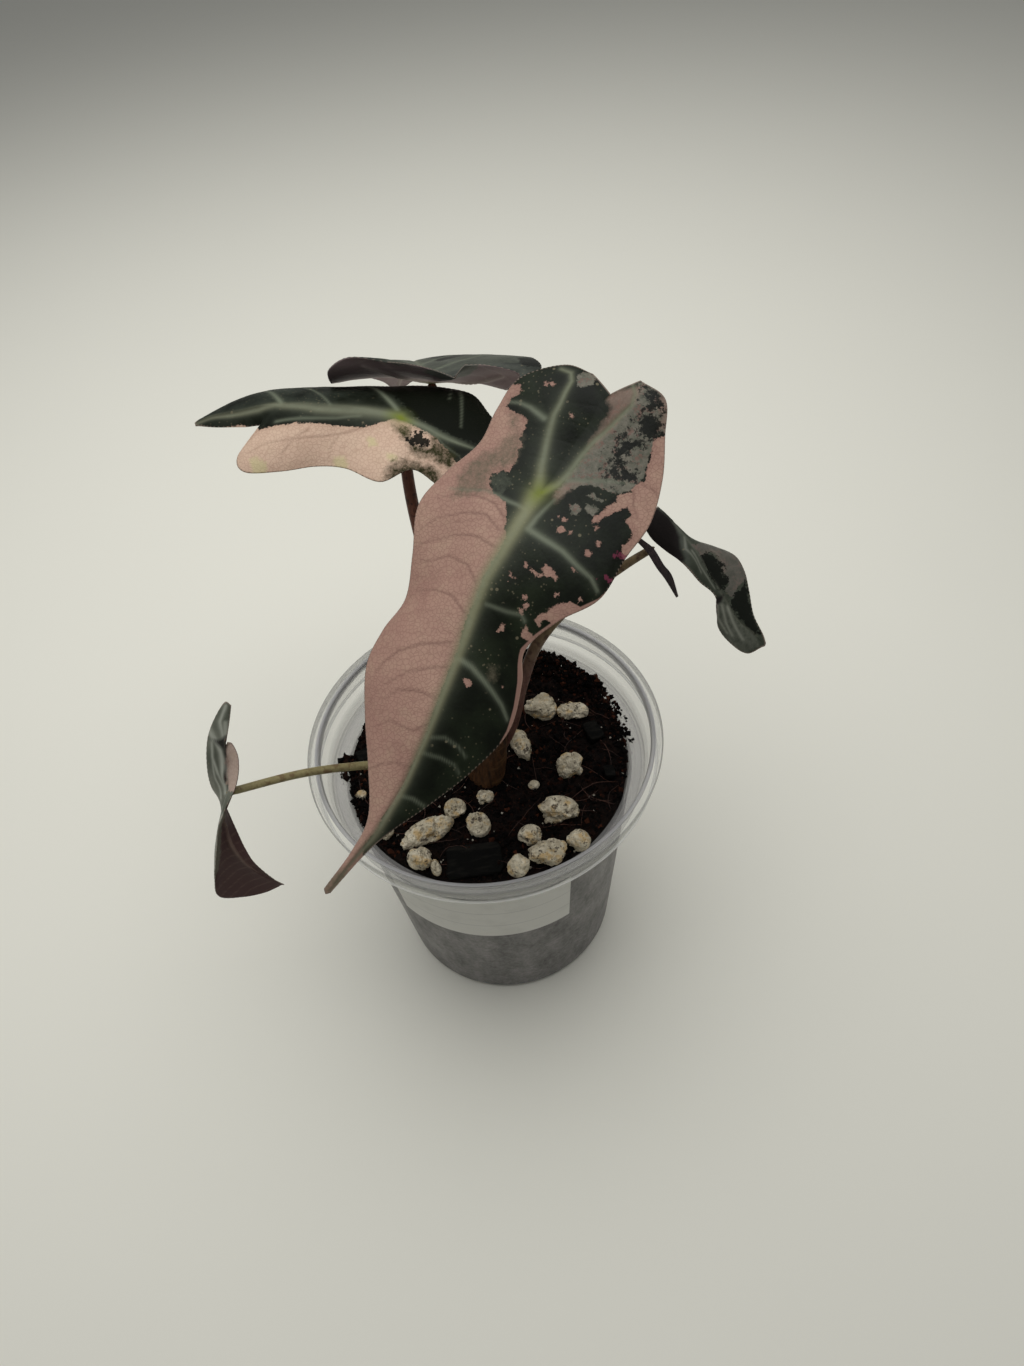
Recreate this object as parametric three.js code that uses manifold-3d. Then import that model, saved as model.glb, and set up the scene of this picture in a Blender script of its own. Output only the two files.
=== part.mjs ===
// Potted alocasia polly: a clear nursery pot filled with dark soil, pumice and bark, with a short
// stem that carries five arrow-shaped leaves. Millimetres, +Z up, origin at the centre of the
// pot's flat base. The plant is seen from the front along +Y, with +X to the right.

import * as THREE from "three";
import { mergeVertices } from "three/addons/utils/BufferGeometryUtils.js";
import Module from "manifold-3d";

const wasm = await Module();
wasm.setup();

// Driving dimensions of the pot
const ROUND = 48; // facets round the pot and the soil
const POT_HEIGHT = 109;
const RIM_RADIUS = 60;
const LIP_RADIUS = 56.4; // inner edge of the flat rim
const SKIRT_DROP = 9.5;
const SHOULDER_HEIGHT = 93; // where the body steps out to the collar
const SHOULDER_RADIUS = 49.5;
const COLLAR_STEP = 4.4; // the collar stands this far outside the body
const BASE_RADIUS = 41;
const FOOT_HEIGHT = 2.2; // height of the rounded edge under the body
const WALL = 0.9;
const FLOOR = 1.3;
const DRAIN_HOLES = 8;
const DRAIN_RADIUS = 1.8;
const DRAIN_CIRCLE = 27;

// Driving dimensions of the filling
const GAP = 0.3; // clearance between pieces that touch
const SOIL_LEVEL = 94.6;
const SOIL_RELIEF = 1.3; // height of the lumps in the soil's surface
const SOIL_EDGE = 47.9;
const SOIL_RINGS = [43, 36, 29, 22, 15, 8]; // radii of the rings of points in its surface
const SOIL_MARGIN = 3; // the lumps fade out over this width at the edge

// Label strip on the body, just under the skirt
const LABEL_TOP = 84;
const LABEL_HEIGHT = 29;
const LABEL_FROM = -142; // degrees round the pot, 0 along +X
const LABEL_TO = -65;
const LABEL_THICKNESS = 0.35;

// Blades are this thick from face to face
const BLADE = 0.8;

const point = (p) => new THREE.Vector3(...p);
const degrees = THREE.MathUtils.degToRad;

// Colours of the pieces
const LOOKS = {
  clear_plastic: { color: 0xd6d8d4, roughness: 0.25, metalness: 0, transparent: true, opacity: 0.35 },
  paper: { color: 0xe8e6df, roughness: 0.8, metalness: 0 },
  soil: { color: 0x1c1411, roughness: 1, metalness: 0 },
  stem: { color: 0x5f3317, roughness: 0.6, metalness: 0 },
  red_stalk: { color: 0x6e4238, roughness: 0.5, metalness: 0 },
  olive_stalk: { color: 0x7a6f4d, roughness: 0.5, metalness: 0 },
  leaf: { color: 0x3a4a38, roughness: 0.4, metalness: 0 },
  pink_leaf: { color: 0x9b7a74, roughness: 0.45, metalness: 0 },
  dry_sheath: { color: 0x2a1c1c, roughness: 0.7, metalness: 0 },
  pumice: { color: 0xb9ae96, roughness: 0.95, metalness: 0 },
  bark: { color: 0x1a1c18, roughness: 0.8, metalness: 0 },
};

const plant = new THREE.Group();

// Gives a shape its name and finish and puts it in the group.
function piece(name, geometry, look) {
  const mesh = new THREE.Mesh(geometry, new THREE.MeshStandardMaterial(LOOKS[look]));
  mesh.name = name;
  plant.add(mesh);
  return mesh;
}

// Turns a closed geometry into a solid that can be cut.
function solid(geometry) {
  const bare = geometry.index ? geometry.clone() : geometry;
  bare.deleteAttribute("normal");
  bare.deleteAttribute("uv");
  const merged = mergeVertices(bare, 1e-4);
  return new wasm.Manifold(
    new wasm.Mesh({
      numProp: 3,
      vertProperties: new Float32Array(merged.attributes.position.array),
      triVerts: new Uint32Array(merged.index.array),
    }),
  );
}

// Turns a solid back into a geometry.
function shape(body) {
  const mesh = body.getMesh();
  const geometry = new THREE.BufferGeometry();
  geometry.setAttribute("position", new THREE.BufferAttribute(mesh.vertProperties, 3));
  geometry.setIndex(new THREE.BufferAttribute(mesh.triVerts, 1));
  geometry.computeVertexNormals();
  return geometry;
}

function indexed(positions, triangles) {
  const geometry = new THREE.BufferGeometry();
  geometry.setAttribute("position", new THREE.Float32BufferAttribute(positions, 3));
  geometry.setIndex(triangles);
  return geometry;
}

// A small repeatable random number source, 0 to 1.
function seeded(seed) {
  let state = seed;
  return () => {
    state = (state * 1664525 + 1013904223) % 4294967296;
    return state / 4294967296;
  };
}

// A profile of [radius, height] pairs turned round the upright axis.
function turned(profile) {
  const lathe = new THREE.LatheGeometry(
    profile.map(([r, z]) => new THREE.Vector2(r, z)),
    ROUND,
  );
  return lathe.rotateX(Math.PI / 2);
}

// A smooth curve through the points, read at an index that may lie between two of them.
function smooth(points) {
  const curve = new THREE.CatmullRomCurve3(points.map(point), false, "catmullrom", 0.5);
  return (at) => curve.getPoint(THREE.MathUtils.clamp(at / (points.length - 1), 0, 1));
}

// A round rod through the points, with one radius for each point and flat ends.
function rod(points, radii, sides = 8, steps = 4) {
  const centre = smooth(points);
  const thick = smooth(radii.map((r) => [r, 0, 0]));
  const rings = (points.length - 1) * steps + 1;
  const positions = [];
  const triangles = [];
  let across = new THREE.Vector3(1, 0, 0);
  for (let i = 0; i < rings; i += 1) {
    const at = i / steps;
    const middle = centre(at);
    const along = centre(at + 0.02).sub(centre(at - 0.02)).normalize();
    across = across.addScaledVector(along, -across.dot(along)).normalize();
    const up = along.clone().cross(across);
    for (let k = 0; k < sides; k += 1) {
      const turn = (k / sides) * 2 * Math.PI;
      const r = thick(at).x;
      const p = middle
        .clone()
        .addScaledVector(across, r * Math.cos(turn))
        .addScaledVector(up, r * Math.sin(turn));
      positions.push(p.x, p.y, p.z);
    }
  }
  for (let i = 0; i + 1 < rings; i += 1) {
    for (let k = 0; k < sides; k += 1) {
      const a = i * sides + k;
      const b = i * sides + ((k + 1) % sides);
      triangles.push(a, b, b + sides, a, b + sides, a + sides);
    }
  }
  const last = (rings - 1) * sides;
  for (let k = 1; k + 1 < sides; k += 1) {
    triangles.push(0, k + 1, k, last, last + k, last + k + 1);
  }
  return indexed(positions, triangles);
}

// Pot: one wall of even thickness, with a step out to the collar and a down-turned skirt
const shoulderOut = SHOULDER_RADIUS + COLLAR_STEP;
const skirtFoot = POT_HEIGHT - SKIRT_DROP;
const potProfile = [
  [0, 0],
  [BASE_RADIUS - 2.6, 0],
  [BASE_RADIUS - 0.8, 0.6],
  [BASE_RADIUS, FOOT_HEIGHT],
  [SHOULDER_RADIUS, SHOULDER_HEIGHT],
  [shoulderOut, SHOULDER_HEIGHT + 1.2],
  [LIP_RADIUS + 0.7, POT_HEIGHT - WALL],
  [RIM_RADIUS - WALL, POT_HEIGHT - WALL],
  [RIM_RADIUS - 1.8 - WALL, skirtFoot + 0.1],
  [RIM_RADIUS - 1.8, skirtFoot],
  [RIM_RADIUS, POT_HEIGHT - 0.6],
  [RIM_RADIUS - 0.4, POT_HEIGHT],
  [LIP_RADIUS, POT_HEIGHT],
  [LIP_RADIUS - 0.3, POT_HEIGHT - 0.4],
  [shoulderOut - 0.9, SHOULDER_HEIGHT + 2.2],
  [SHOULDER_RADIUS - WALL, SHOULDER_HEIGHT + 1],
  [BASE_RADIUS - WALL, FLOOR + 1.6],
  [BASE_RADIUS - WALL - 1.2, FLOOR],
  [0, FLOOR],
];
let pot = solid(turned(potProfile));
for (let i = 0; i < DRAIN_HOLES; i += 1) {
  const turn = (i / DRAIN_HOLES) * 2 * Math.PI;
  const hole = new THREE.CylinderGeometry(DRAIN_RADIUS, DRAIN_RADIUS, 4 * FLOOR, 10);
  hole.rotateX(Math.PI / 2);
  hole.translate(DRAIN_CIRCLE * Math.cos(turn), DRAIN_CIRCLE * Math.sin(turn), FLOOR / 2);
  pot = pot.subtract(solid(hole));
}
piece("pot", shape(pot), "clear_plastic");

// Label: a paper strip bent round the body, close under the skirt
function bodyRadius(z) {
  return THREE.MathUtils.mapLinear(z, FOOT_HEIGHT, SHOULDER_HEIGHT, BASE_RADIUS, SHOULDER_RADIUS);
}
const labelSteps = 14;
const labelPositions = [];
const labelTriangles = [];
for (let i = 0; i <= labelSteps; i += 1) {
  const turn = degrees(THREE.MathUtils.lerp(LABEL_FROM, LABEL_TO, i / labelSteps));
  for (const [z, out] of [
    [LABEL_TOP - LABEL_HEIGHT, GAP],
    [LABEL_TOP - LABEL_HEIGHT, GAP + LABEL_THICKNESS],
    [LABEL_TOP, GAP + LABEL_THICKNESS],
    [LABEL_TOP, GAP],
  ]) {
    const r = bodyRadius(z) + out;
    labelPositions.push(r * Math.cos(turn), r * Math.sin(turn), z);
  }
}
for (let i = 0; i < labelSteps; i += 1) {
  for (let k = 0; k < 4; k += 1) {
    const a = 4 * i + k;
    const b = 4 * i + ((k + 1) % 4);
    labelTriangles.push(a, a + 4, b + 4, a, b + 4, b);
  }
}
const labelEnd = 4 * labelSteps;
labelTriangles.push(0, 1, 2, 0, 2, 3, labelEnd, labelEnd + 2, labelEnd + 1);
labelTriangles.push(labelEnd, labelEnd + 3, labelEnd + 2);
piece("label", indexed(labelPositions, labelTriangles), "paper");

// Soil surface: low rounded lumps, a sum of waves that run in three directions
function soilHeight(x, y) {
  const lumps =
    Math.sin(0.21 * x + 0.13 * y + 0.4) +
    Math.sin(-0.11 * x + 0.24 * y + 2.1) +
    0.7 * Math.sin(0.33 * x - 0.29 * y + 1.3);
  return SOIL_LEVEL + (SOIL_RELIEF * lumps) / 2.7;
}

// The soil fills the pot up to the shoulder
const inner = (z) => bodyRadius(z) - WALL - GAP - 0.1;
const soilProfile = [
  [0, FLOOR + GAP],
  [BASE_RADIUS - WALL - 1.8, FLOOR + GAP],
  [inner(3.4), 3.6],
  [SOIL_EDGE + 0.2, SHOULDER_HEIGHT],
  [SOIL_EDGE, SOIL_LEVEL],
  ...SOIL_RINGS.map((r) => [r, SOIL_LEVEL]),
  [0, SOIL_LEVEL],
];
const soilGeometry = turned(soilProfile);
const soilPoints = soilGeometry.attributes.position;
for (let i = 0; i < soilPoints.count; i += 1) {
  const x = soilPoints.getX(i);
  const y = soilPoints.getY(i);
  if (soilPoints.getZ(i) > SHOULDER_HEIGHT + 0.5) {
    const fade = THREE.MathUtils.clamp((SOIL_EDGE - Math.hypot(x, y)) / SOIL_MARGIN, 0, 1);
    soilPoints.setZ(i, THREE.MathUtils.lerp(SOIL_LEVEL, soilHeight(x, y), fade));
  }
}
let soil = solid(soilGeometry);

// Stem: a short sheathed stump on a rounded corm that sits in a plain hole in the soil. The hole
// is the stem's own shape made wider, and a little deeper at the foot.
const stemPath = [
  [-2, -5, 73],
  [-2, -5, 78],
  [-1.5, -5, 86],
  [-1, -5, 95],
  [1, -5, 106],
  [4, -5, 118],
];
const stemRadii = [4, 8.5, 8.5, 6.8, 5.6, 4.4];
const stemSides = 12;
const wider = stemRadii.map((r) => r + GAP + 0.15);
const stemClear = solid(rod(stemPath, wider, stemSides)).add(
  solid(rod([stemPath.at(-1), [4.1, -5, 118.35]], [4.8, 4.8], stemSides)),
);
soil = soil.subtract(stemClear);
soil = soil.subtract(solid(rod([[-2, -5, 72.5], [-2, -5, 76]], [5.2, 7.6], stemSides)));
piece("stem_base", rod(stemPath, stemRadii, stemSides), "stem");

// Each leaf is described in its own frame. Its node is the place where the stalk meets the blade.
// "along" runs down the midrib to the tip, "across" to the left of a walker who goes that way,
// and "lift" stands off the blade's upper face. heading, dip and roll turn that frame: heading is
// the compass turn of the midrib from +X, dip its slope below level, roll a turn about the midrib.
// A row of the table gives the rib, the walker's left edge and the right edge, tip to base.
const LEAVES = {
  front: {
    node: [24, -8, 214],
    turn: [-137, 34, -15],
    rows: [
      [[117, 0, 0], [116, 1, 0], [116, -1, 0]],
      [[102, 2.8, 3], [103, 4.5, 2], [103.5, 1.2, 1.5]],
      [[86.5, 5.3, 4.5], [94, 8, 3], [93, 1.2, 3.5]],
      [[70, 5.6, 6.5], [82, 14, 3], [81.5, -5, 4.5]],
      [[56, 4.2, 7.5], [70, 19, 2], [71.5, -12, 3.5]],
      [[43, 2.4, 7], [57, 22, 0], [60, -18.7, 2]],
      [[31.5, 0.3, 6.5], [45, 19, -1], [50, -20, 0]],
      [[22, -0.8, 6], [37, 16, 1], [40, -19, -1]],
      [[12.5, -1, 4], [27, 20, 2], [29, -23, -1]],
      [[5.5, -0.5, 2], [17, 26.5, 1], [17, -28, -1]],
      [[0, 0, 0], [5, 27, -1], [6, -26, -2]],
      [[-7, 1, -1], [-6, 28, -3], [-5, -22, -3]],
      [[-14, 1, -2], [-17.5, 25.2, -4], [-15, -22.5, -4]],
      [[-21, 2, -2], [-27.5, 20.5, -4], [-25, -21, -4]],
      [[-27, 2, -2], [-36, 16, -4], [-33, -12, -4]],
      [[-31, 3, -3], [-37.5, 8, -3.5], [-34, -4, -4]],
    ],
    stalk: [[4, -5, 117], [7, -4, 135], [13, -2, 165], [20, -3, 195], [24, -8, 214]],
    radii: [2.7, 2.6, 2.4, 2.2, 2],
    look: "leaf",
    stalkLook: "red_stalk",
  },
  left: {
    node: [-9, 35, 213],
    turn: [165, 2, -5],
    rows: [
      [[62, 0, 0], [61.5, 1, 0], [61.5, -1, 0]],
      [[56, -2, 1], [56, 0.8, -1], [58, -8, -2]],
      [[48, -2.8, 2], [47, 1, -1], [53, -15.5, -4]],
      [[40, -3.5, 3], [41, 1.5, -1], [45, -20, -5]],
      [[33, -3.5, 3], [48, 8.4, -5], [37, -22, -6]],
      [[26, -3.5, 3], [45, 14.3, -6], [30, -22, -6]],
      [[19, -2.5, 3], [34, 14.3, -6], [23, -21.8, -6]],
      [[12, -2.2, 2], [24, 12.5, -6], [16, -22, -6]],
      [[5, -1, 1], [15, 13.5, -6], [8, -21.5, -6]],
      [[0, 0, 0], [4, 19, -6], [0, -21.5, -6]],
      [[-6, 3, 0], [-4.6, 14.4, -6], [-8, -21.5, -7]],
      [[-12, 6, -1], [-14, 20, -8], [-17, -18, -7]],
      [[-18, 8, -2], [-23, 21, -8.5], [-23, -9, -6.5]],
      [[-24, 9.5, -3], [-30, 16, -8], [-29, 2, -5]],
    ],
    stalk: [[-3, -3, 106], [-6, 3, 132], [-8, 14, 162], [-10, 26, 192], [-9, 35, 213]],
    radii: [2, 2, 1.9, 1.8, 1.6],
    look: "pink_leaf",
    stalkLook: "red_stalk",
  },
  back: {
    node: [1, 64, 205],
    turn: [103, 30, 0],
    rows: [
      [[86, -3, -5], [85, -2, -5], [85, -4, -5]],
      [[74, -4, 0], [73, 3, 0], [69, -12, -1]],
      [[62, -5, 3], [64, 10, 4], [58, -22, 0]],
      [[48, -5, 5], [53, 15, 8], [43, -31, -1]],
      [[33, -4, 4], [39, 19, 10], [26, -36, -2]],
      [[17, -2, 2], [26, 23, 9], [11, -37, -3]],
      [[0, 0, 0], [14, 26, 8], [-2, -34, -6]],
      [[-7, 0, 0], [4, 29, 7], [-10, -20, -8]],
      [[-13, -1, 0], [-8, 30, 11], [-21, -22, -4]],
      [[-17, -2, 0], [-14, 24, 13], [-24, -13, 1]],
      [[-21, -3, 0], [-18, 14, 9], [-24, -6, 3]],
    ],
    stalk: [[1.5, -2, 106], [1.5, 10, 135], [2, 32, 168], [2, 52, 192], [1, 64, 205]],
    radii: [2, 2, 1.9, 1.8, 1.6],
    look: "leaf",
    stalkLook: "red_stalk",
  },
  low: {
    node: [-77, -23, 131],
    turn: [-69, 69, 0],
    rows: [
      [[39, 0, 0], [39.5, -0.8, -0.6], [39, 0.8, 0.6]],
      [[30, -5, 1], [39.5, -5.5, -1], [36, -1, 1]],
      [[23, -7, 2], [38, -12, -2], [27, -4, 2]],
      [[17, -8, 3], [33, -18.5, -1], [20, -5, 1]],
      [[11, -8, 3], [24, -17, 3], [13, -5, -3]],
      [[5, -6, 2], [14, -13.5, 7], [7, -5, -8]],
      [[0, -1, 0], [3.5, -8, 7.5], [0, -6, -8]],
      [[-5, 0, 0], [-4, 0.6, 5], [-10, -4, -5]],
      [[-9, 2, -1], [-10.5, 4.5, 3], [-20, 0.4, -3]],
      [[-13, 2.5, -1], [-15, 5, 1], [-27.2, 7.6, -2]],
      [[-14.5, 2.8, -1], [-16.3, 3.9, 0.5], [-25.7, 9.4, -2]],
    ],
    stalk: [[-4, -5.5, 103], [-20, -7, 108.5], [-39, -9, 114.5], [-58, -15, 123.5], [-77, -23, 131]],
    radii: [1.7, 1.6, 1.4, 1.3, 1.2],
    look: "leaf",
    stalkLook: "olive_stalk",
  },
  right: {
    node: [59, 2, 181],
    turn: [-40, 37, 45],
    rows: [
      [[43, 0, 0], [42.5, 0.8, 0], [42.5, -0.8, 0]],
      [[38, 0, 0], [40, 2, 0], [41, -5, 0]],
      [[31, 0, 1], [34, 4, -1], [36, -6.3, 1]],
      [[24, 2, 1], [28, 8, -2], [29, -5.5, 0]],
      [[17, 3, 1], [23, 11, -3], [22, 0, 2]],
      [[11, 5, 1], [18, 12, -5], [15, 0, 4]],
      [[6, 6, 1], [12, 9, -7], [10, 0.4, 6]],
      [[1.8, 6.4, 0.5], [9, 4, -8], [5.8, 0.2, 4]],
      [[-2, 6.5, 0], [6.6, 0, -7], [1.9, -0.6, 1]],
      [[-5.5, 6.5, -1], [0.8, 2.9, -7], [-2.8, -1, 0]],
      [[-8.3, 6.5, -2], [-5.4, 3.3, -5], [-7.1, -0.2, -1]],
    ],
    stalk: [
      [3.5, -5, 104],
      [10, -4.5, 119],
      [14.5, -4, 137],
      [21, -2, 153],
      [33, 0, 165.5],
      [47, 1, 175.2],
      [57, 2.4, 179.9],
    ],
    radii: [2, 2, 1.9, 1.8, 1.5, 1.3, 1.1],
    look: "leaf",
    stalkLook: "olive_stalk",
  },
};

// A blade is a surface between its rib and its two edges. Points on it run from rib to edge, with
// a slight belly, and both faces keep the same split into triangles so that they never cross.
const ROW_STEPS = 2;
const HALF_STEPS = 4;
const BELLY = 0.05; // rise of the belly as a share of the half's width

function bladeGrid(rows) {
  const curves = [0, 1, 2].map((side) => smooth(rows.map((row) => row[side])));
  const count = (rows.length - 1) * ROW_STEPS + 1;
  const grid = [];
  for (let i = 0; i < count; i += 1) {
    const [rib, one, other] = curves.map((curve) => curve(i / ROW_STEPS));
    const line = [];
    for (let k = -HALF_STEPS; k <= HALF_STEPS; k += 1) {
      const share = Math.abs(k) / HALF_STEPS;
      line.push(rib.clone().lerp(k < 0 ? one : other, share));
    }
    grid.push(line);
  }
  return grid;
}

// Directions that stand off the surface, from the neighbours of each grid point.
function bladeNormals(grid) {
  const near = (list, i) => list[THREE.MathUtils.clamp(i, 0, list.length - 1)];
  return grid.map((line, i) =>
    line.map((_, k) => {
      const along = near(grid, i + 1)[k].clone().sub(near(grid, i - 1)[k]);
      const across = near(line, k + 1).clone().sub(near(line, k - 1));
      return along.cross(across).normalize();
    }),
  );
}

// The blade's closed solid, from "under" below its middle surface to "over" above it.
function bladeSolid(leaf, under, over) {
  const grid = bladeGrid(leaf.rows);
  const flat = bladeNormals(grid);
  const wide = 2 * HALF_STEPS + 1;
  grid.forEach((line, i) =>
    line.forEach((p, k) => {
      const share = Math.abs(k - HALF_STEPS) / HALF_STEPS;
      const edge = k < HALF_STEPS ? line[0] : line[wide - 1];
      const width = edge.distanceTo(line[HALF_STEPS]);
      p.addScaledVector(flat[i][k], BELLY * width * 4 * share * (1 - share));
    }),
  );
  const normals = bladeNormals(grid);
  const positions = [];
  for (const off of [over, -under]) {
    grid.forEach((line, i) =>
      line.forEach((p, k) => {
        const q = p.clone().addScaledVector(normals[i][k], off);
        positions.push(q.x, q.y, q.z);
      }),
    );
  }
  const layer = grid.length * wide;
  const triangles = [];
  const quad = (a, b, c, d) => triangles.push(a, b, c, a, c, d);
  for (let i = 0; i + 1 < grid.length; i += 1) {
    for (let k = 0; k + 1 < wide; k += 1) {
      const a = i * wide + k;
      quad(a, a + wide, a + wide + 1, a + 1);
      triangles.push(layer + a, layer + a + wide + 1, layer + a + wide);
      triangles.push(layer + a, layer + a + 1, layer + a + wide + 1);
    }
    const left = i * wide;
    quad(left, layer + left, layer + left + wide, left + wide);
    const right = left + wide - 1;
    quad(right, right + wide, layer + right + wide, layer + right);
  }
  for (let k = 0; k + 1 < wide; k += 1) {
    quad(k, k + 1, layer + k + 1, layer + k);
    const a = layer - wide + k;
    quad(a, layer + a, layer + a + 1, a + 1);
  }
  return indexed(positions, triangles);
}

function placed(leaf, geometry) {
  const [heading, dip, roll] = leaf.turn.map(degrees);
  const frame = new THREE.Matrix4().makeRotationFromEuler(new THREE.Euler(roll, dip, heading, "ZYX"));
  return geometry.applyMatrix4(frame.setPosition(...leaf.node));
}

// Each stalk is cut to the stem at its foot and to the blade's underside at its top.
for (const [name, leaf] of Object.entries(LEAVES)) {
  piece(`leaf_${name}`, placed(leaf, bladeSolid(leaf, BLADE / 2, BLADE / 2)), leaf.look);
  const bladeClear = solid(placed(leaf, bladeSolid(leaf, BLADE / 2 + GAP, 3)));
  const cut = solid(rod(leaf.stalk, leaf.radii)).subtract(bladeClear).subtract(stemClear);
  const [stalk] = cut.decompose().sort((a, b) => b.volume() - a.volume());
  piece(`stalk_${name}`, shape(stalk), leaf.stalkLook);
}

// Dried sheath: a narrow pointed strip that hangs over the right leaf's stalk
const SHEATH = {
  node: [55.3, 0.15, 180.63],
  turn: [0, 0, 0],
  rows: [
    [[7, -5.6, -14.4], [7.3, -5.6, -14.2], [6.7, -5.6, -14.6]],
    [[4.5, -4, -7.5], [5.5, -4, -7], [3.5, -4, -8]],
    [[2.3, -2.6, -4], [3.3, -2.6, -3.5], [1.3, -2.6, -4.5]],
    [[0, 0, 0], [1, 0, 0.6], [-1, 0, -0.4]],
    [[-2, 2, 1.8], [-1.4, 2, 2.4], [-2.6, 2, 1.2]],
    [[-4, 4, 3], [-3.6, 4, 3.5], [-4.4, 4, 2.5]],
  ],
};
piece("dried_sheath", placed(SHEATH, bladeSolid(SHEATH, BLADE / 2, BLADE / 2)), "dry_sheath");

// Pumice: rounded lumps, each [x, y, wide, deep, tall, turn in degrees, share sunk in the soil]
const PUMICE = [
  [21.6, 18, 11.6, 12.4, 9, 20, 0.3],
  [32.4, 13.4, 11.4, 7.8, 7, -12, 0.3],
  [12.4, 3.1, 7.4, 13.4, 8, 10, 0.35],
  [27.4, -9, 10.4, 9.6, 9, 35, 0.3],
  [14, -14, 4, 3.5, 3, 0, 0.3],
  [-3, -15, 6.4, 5.8, 5, 15, 0.3],
  [20, -27, 14.8, 10.8, 10, -10, 0.3],
  [-13.4, -18.8, 7.6, 7.4, 6, 30, 0.3],
  [-6.8, -26.8, 8.4, 10.2, 7, 30, 0.3],
  [9.7, -33.6, 8.2, 7.4, 7, 15, 0.3],
  [14, -42.6, 14, 9.6, 9, 10, 0.05],
  [24.6, -40.2, 8, 7.8, 7.4, 25, 0.05],
  [4.3, -45.6, 8, 7.2, 7, 40, 0],
  [-23.8, -26.2, 20.4, 8.6, 9, 22, 0.3],
  [-26.6, -36.4, 8.8, 7.8, 7, -30, 0.2],
  [-21.9, -40.2, 3.6, 5.8, 5, 10, 0.2],
  [-37.6, -23.6, 7.2, 7.6, 6.6, 10, 0.2],
  [-44.4, -7, 4, 4, 3, 0, 0.2],
];

const PUMICE_ROUGH = 0.25; // a corner of a lump sits in from its full reach by up to this share
const CHIP_ROUGH = 0.15;
const SEAT = 2.8 * GAP; // the hollow in the soil under a lump or chip is this much larger

// Lumpy ball: each corner of a faceted ball moves in by a seeded share.
function lump(size, seed) {
  const random = seeded(seed);
  const ball = mergeVertices(
    new THREE.IcosahedronGeometry(0.5, 1).deleteAttribute("normal").deleteAttribute("uv"),
    1e-4,
  );
  const points = ball.attributes.position;
  for (let i = 0; i < points.count; i += 1) {
    const reach = 1 - PUMICE_ROUGH * random();
    points.setXYZ(i, points.getX(i) * reach, points.getY(i) * reach, points.getZ(i) * reach);
  }
  return ball.scale(...size);
}

function stone([x, y, wide, deep, tall, turn, sunk], seed, margin) {
  const size = [wide + margin, deep + margin, tall + margin];
  const rock = lump(size, seed).rotateZ(degrees(turn));
  return solid(rock.translate(x, y, soilHeight(x, y) + tall * (0.5 - sunk)));
}

const numbered = (i) => String(i + 1).padStart(2, "0");
PUMICE.forEach((row, i) => {
  soil = soil.subtract(stone(row, i + 7, SEAT));
  piece(`pumice_${numbered(i)}`, shape(stone(row, i + 7, 0)), "pumice");
});

// Bark and charcoal chips: flat angular pieces, the same row form as the pumice
const CHIPS = [
  [-9.3, -39.6, 19.6, 12.6, 2.6, -4, 0],
  [-42.5, 9, 6, 6, 5, 20, 0.3],
  [38, 4, 6, 9, 4, 15, 0.3],
  [40, -14, 4, 5, 3, 0, 0.3],
];

function chip([x, y, wide, deep, tall, turn, sunk], seed, margin) {
  const random = seeded(seed);
  const corners = [[1, 1], [-1, 1], [-1, -1], [1, -1]].map(([i, j]) => {
    const cornerX = ((i * (wide + margin)) / 2) * (1 - CHIP_ROUGH * random());
    const cornerY = ((j * (deep + margin)) / 2) * (1 - CHIP_ROUGH * random());
    return new THREE.Vector2(cornerX, cornerY);
  });
  const height = tall + margin;
  const slab = new THREE.ExtrudeGeometry(new THREE.Shape(corners), {
    depth: height,
    bevelEnabled: false,
  });
  slab.translate(0, 0, -height / 2).rotateZ(degrees(turn));
  return solid(slab.translate(x, y, soilHeight(x, y) + tall * (0.5 - sunk)));
}

CHIPS.forEach((row, i) => {
  soil = soil.subtract(chip(row, i + 3, SEAT));
  piece(`bark_${numbered(i)}`, shape(chip(row, i + 3, 0)), "bark");
});

piece("soil", shape(soil), "soil");

export default plant;
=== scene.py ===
# %% [markdown]
# # A potted alocasia polly
#
# A clear nursery pot holds dark soil, pumice and bark, and a short stem carries five arrow-shaped
# leaves. The solids come packed as a frame with every piece at its real size. This file gives each
# of them its finished surface. Lengths in the tables are millimetres; Blender works in metres.

import itertools
import math

import bpy
import numpy as np
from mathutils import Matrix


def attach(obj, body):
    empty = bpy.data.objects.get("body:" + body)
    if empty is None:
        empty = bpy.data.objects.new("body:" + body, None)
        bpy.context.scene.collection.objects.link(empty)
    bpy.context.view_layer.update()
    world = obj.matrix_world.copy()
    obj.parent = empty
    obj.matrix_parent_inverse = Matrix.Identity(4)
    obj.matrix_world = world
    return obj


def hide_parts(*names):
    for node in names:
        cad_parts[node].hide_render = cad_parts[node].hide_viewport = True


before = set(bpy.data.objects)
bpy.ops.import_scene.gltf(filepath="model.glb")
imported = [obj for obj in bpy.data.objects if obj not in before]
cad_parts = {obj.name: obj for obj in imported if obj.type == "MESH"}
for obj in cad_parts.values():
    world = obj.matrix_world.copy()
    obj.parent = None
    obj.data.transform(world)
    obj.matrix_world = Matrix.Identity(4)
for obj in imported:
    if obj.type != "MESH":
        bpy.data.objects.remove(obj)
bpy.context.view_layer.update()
MM = 0.001

# %% [markdown]
# ## Camera
#
# The camera looks down at the plant from the front, about fifty degrees below level, and leans a
# little to one side. Its place and lens were worked out from the pot's rim and base, whose real
# sizes are known. Three turns give its three axes, which become the columns of its matrix.

# %% Camera
EYE = (0.0, -0.21275, 0.38196)
YAW, PITCH, ROLL = 0.053793, 0.862573, -0.117254
FOCAL_PIXELS, FRAME_HEIGHT = 1026, 1366

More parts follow.
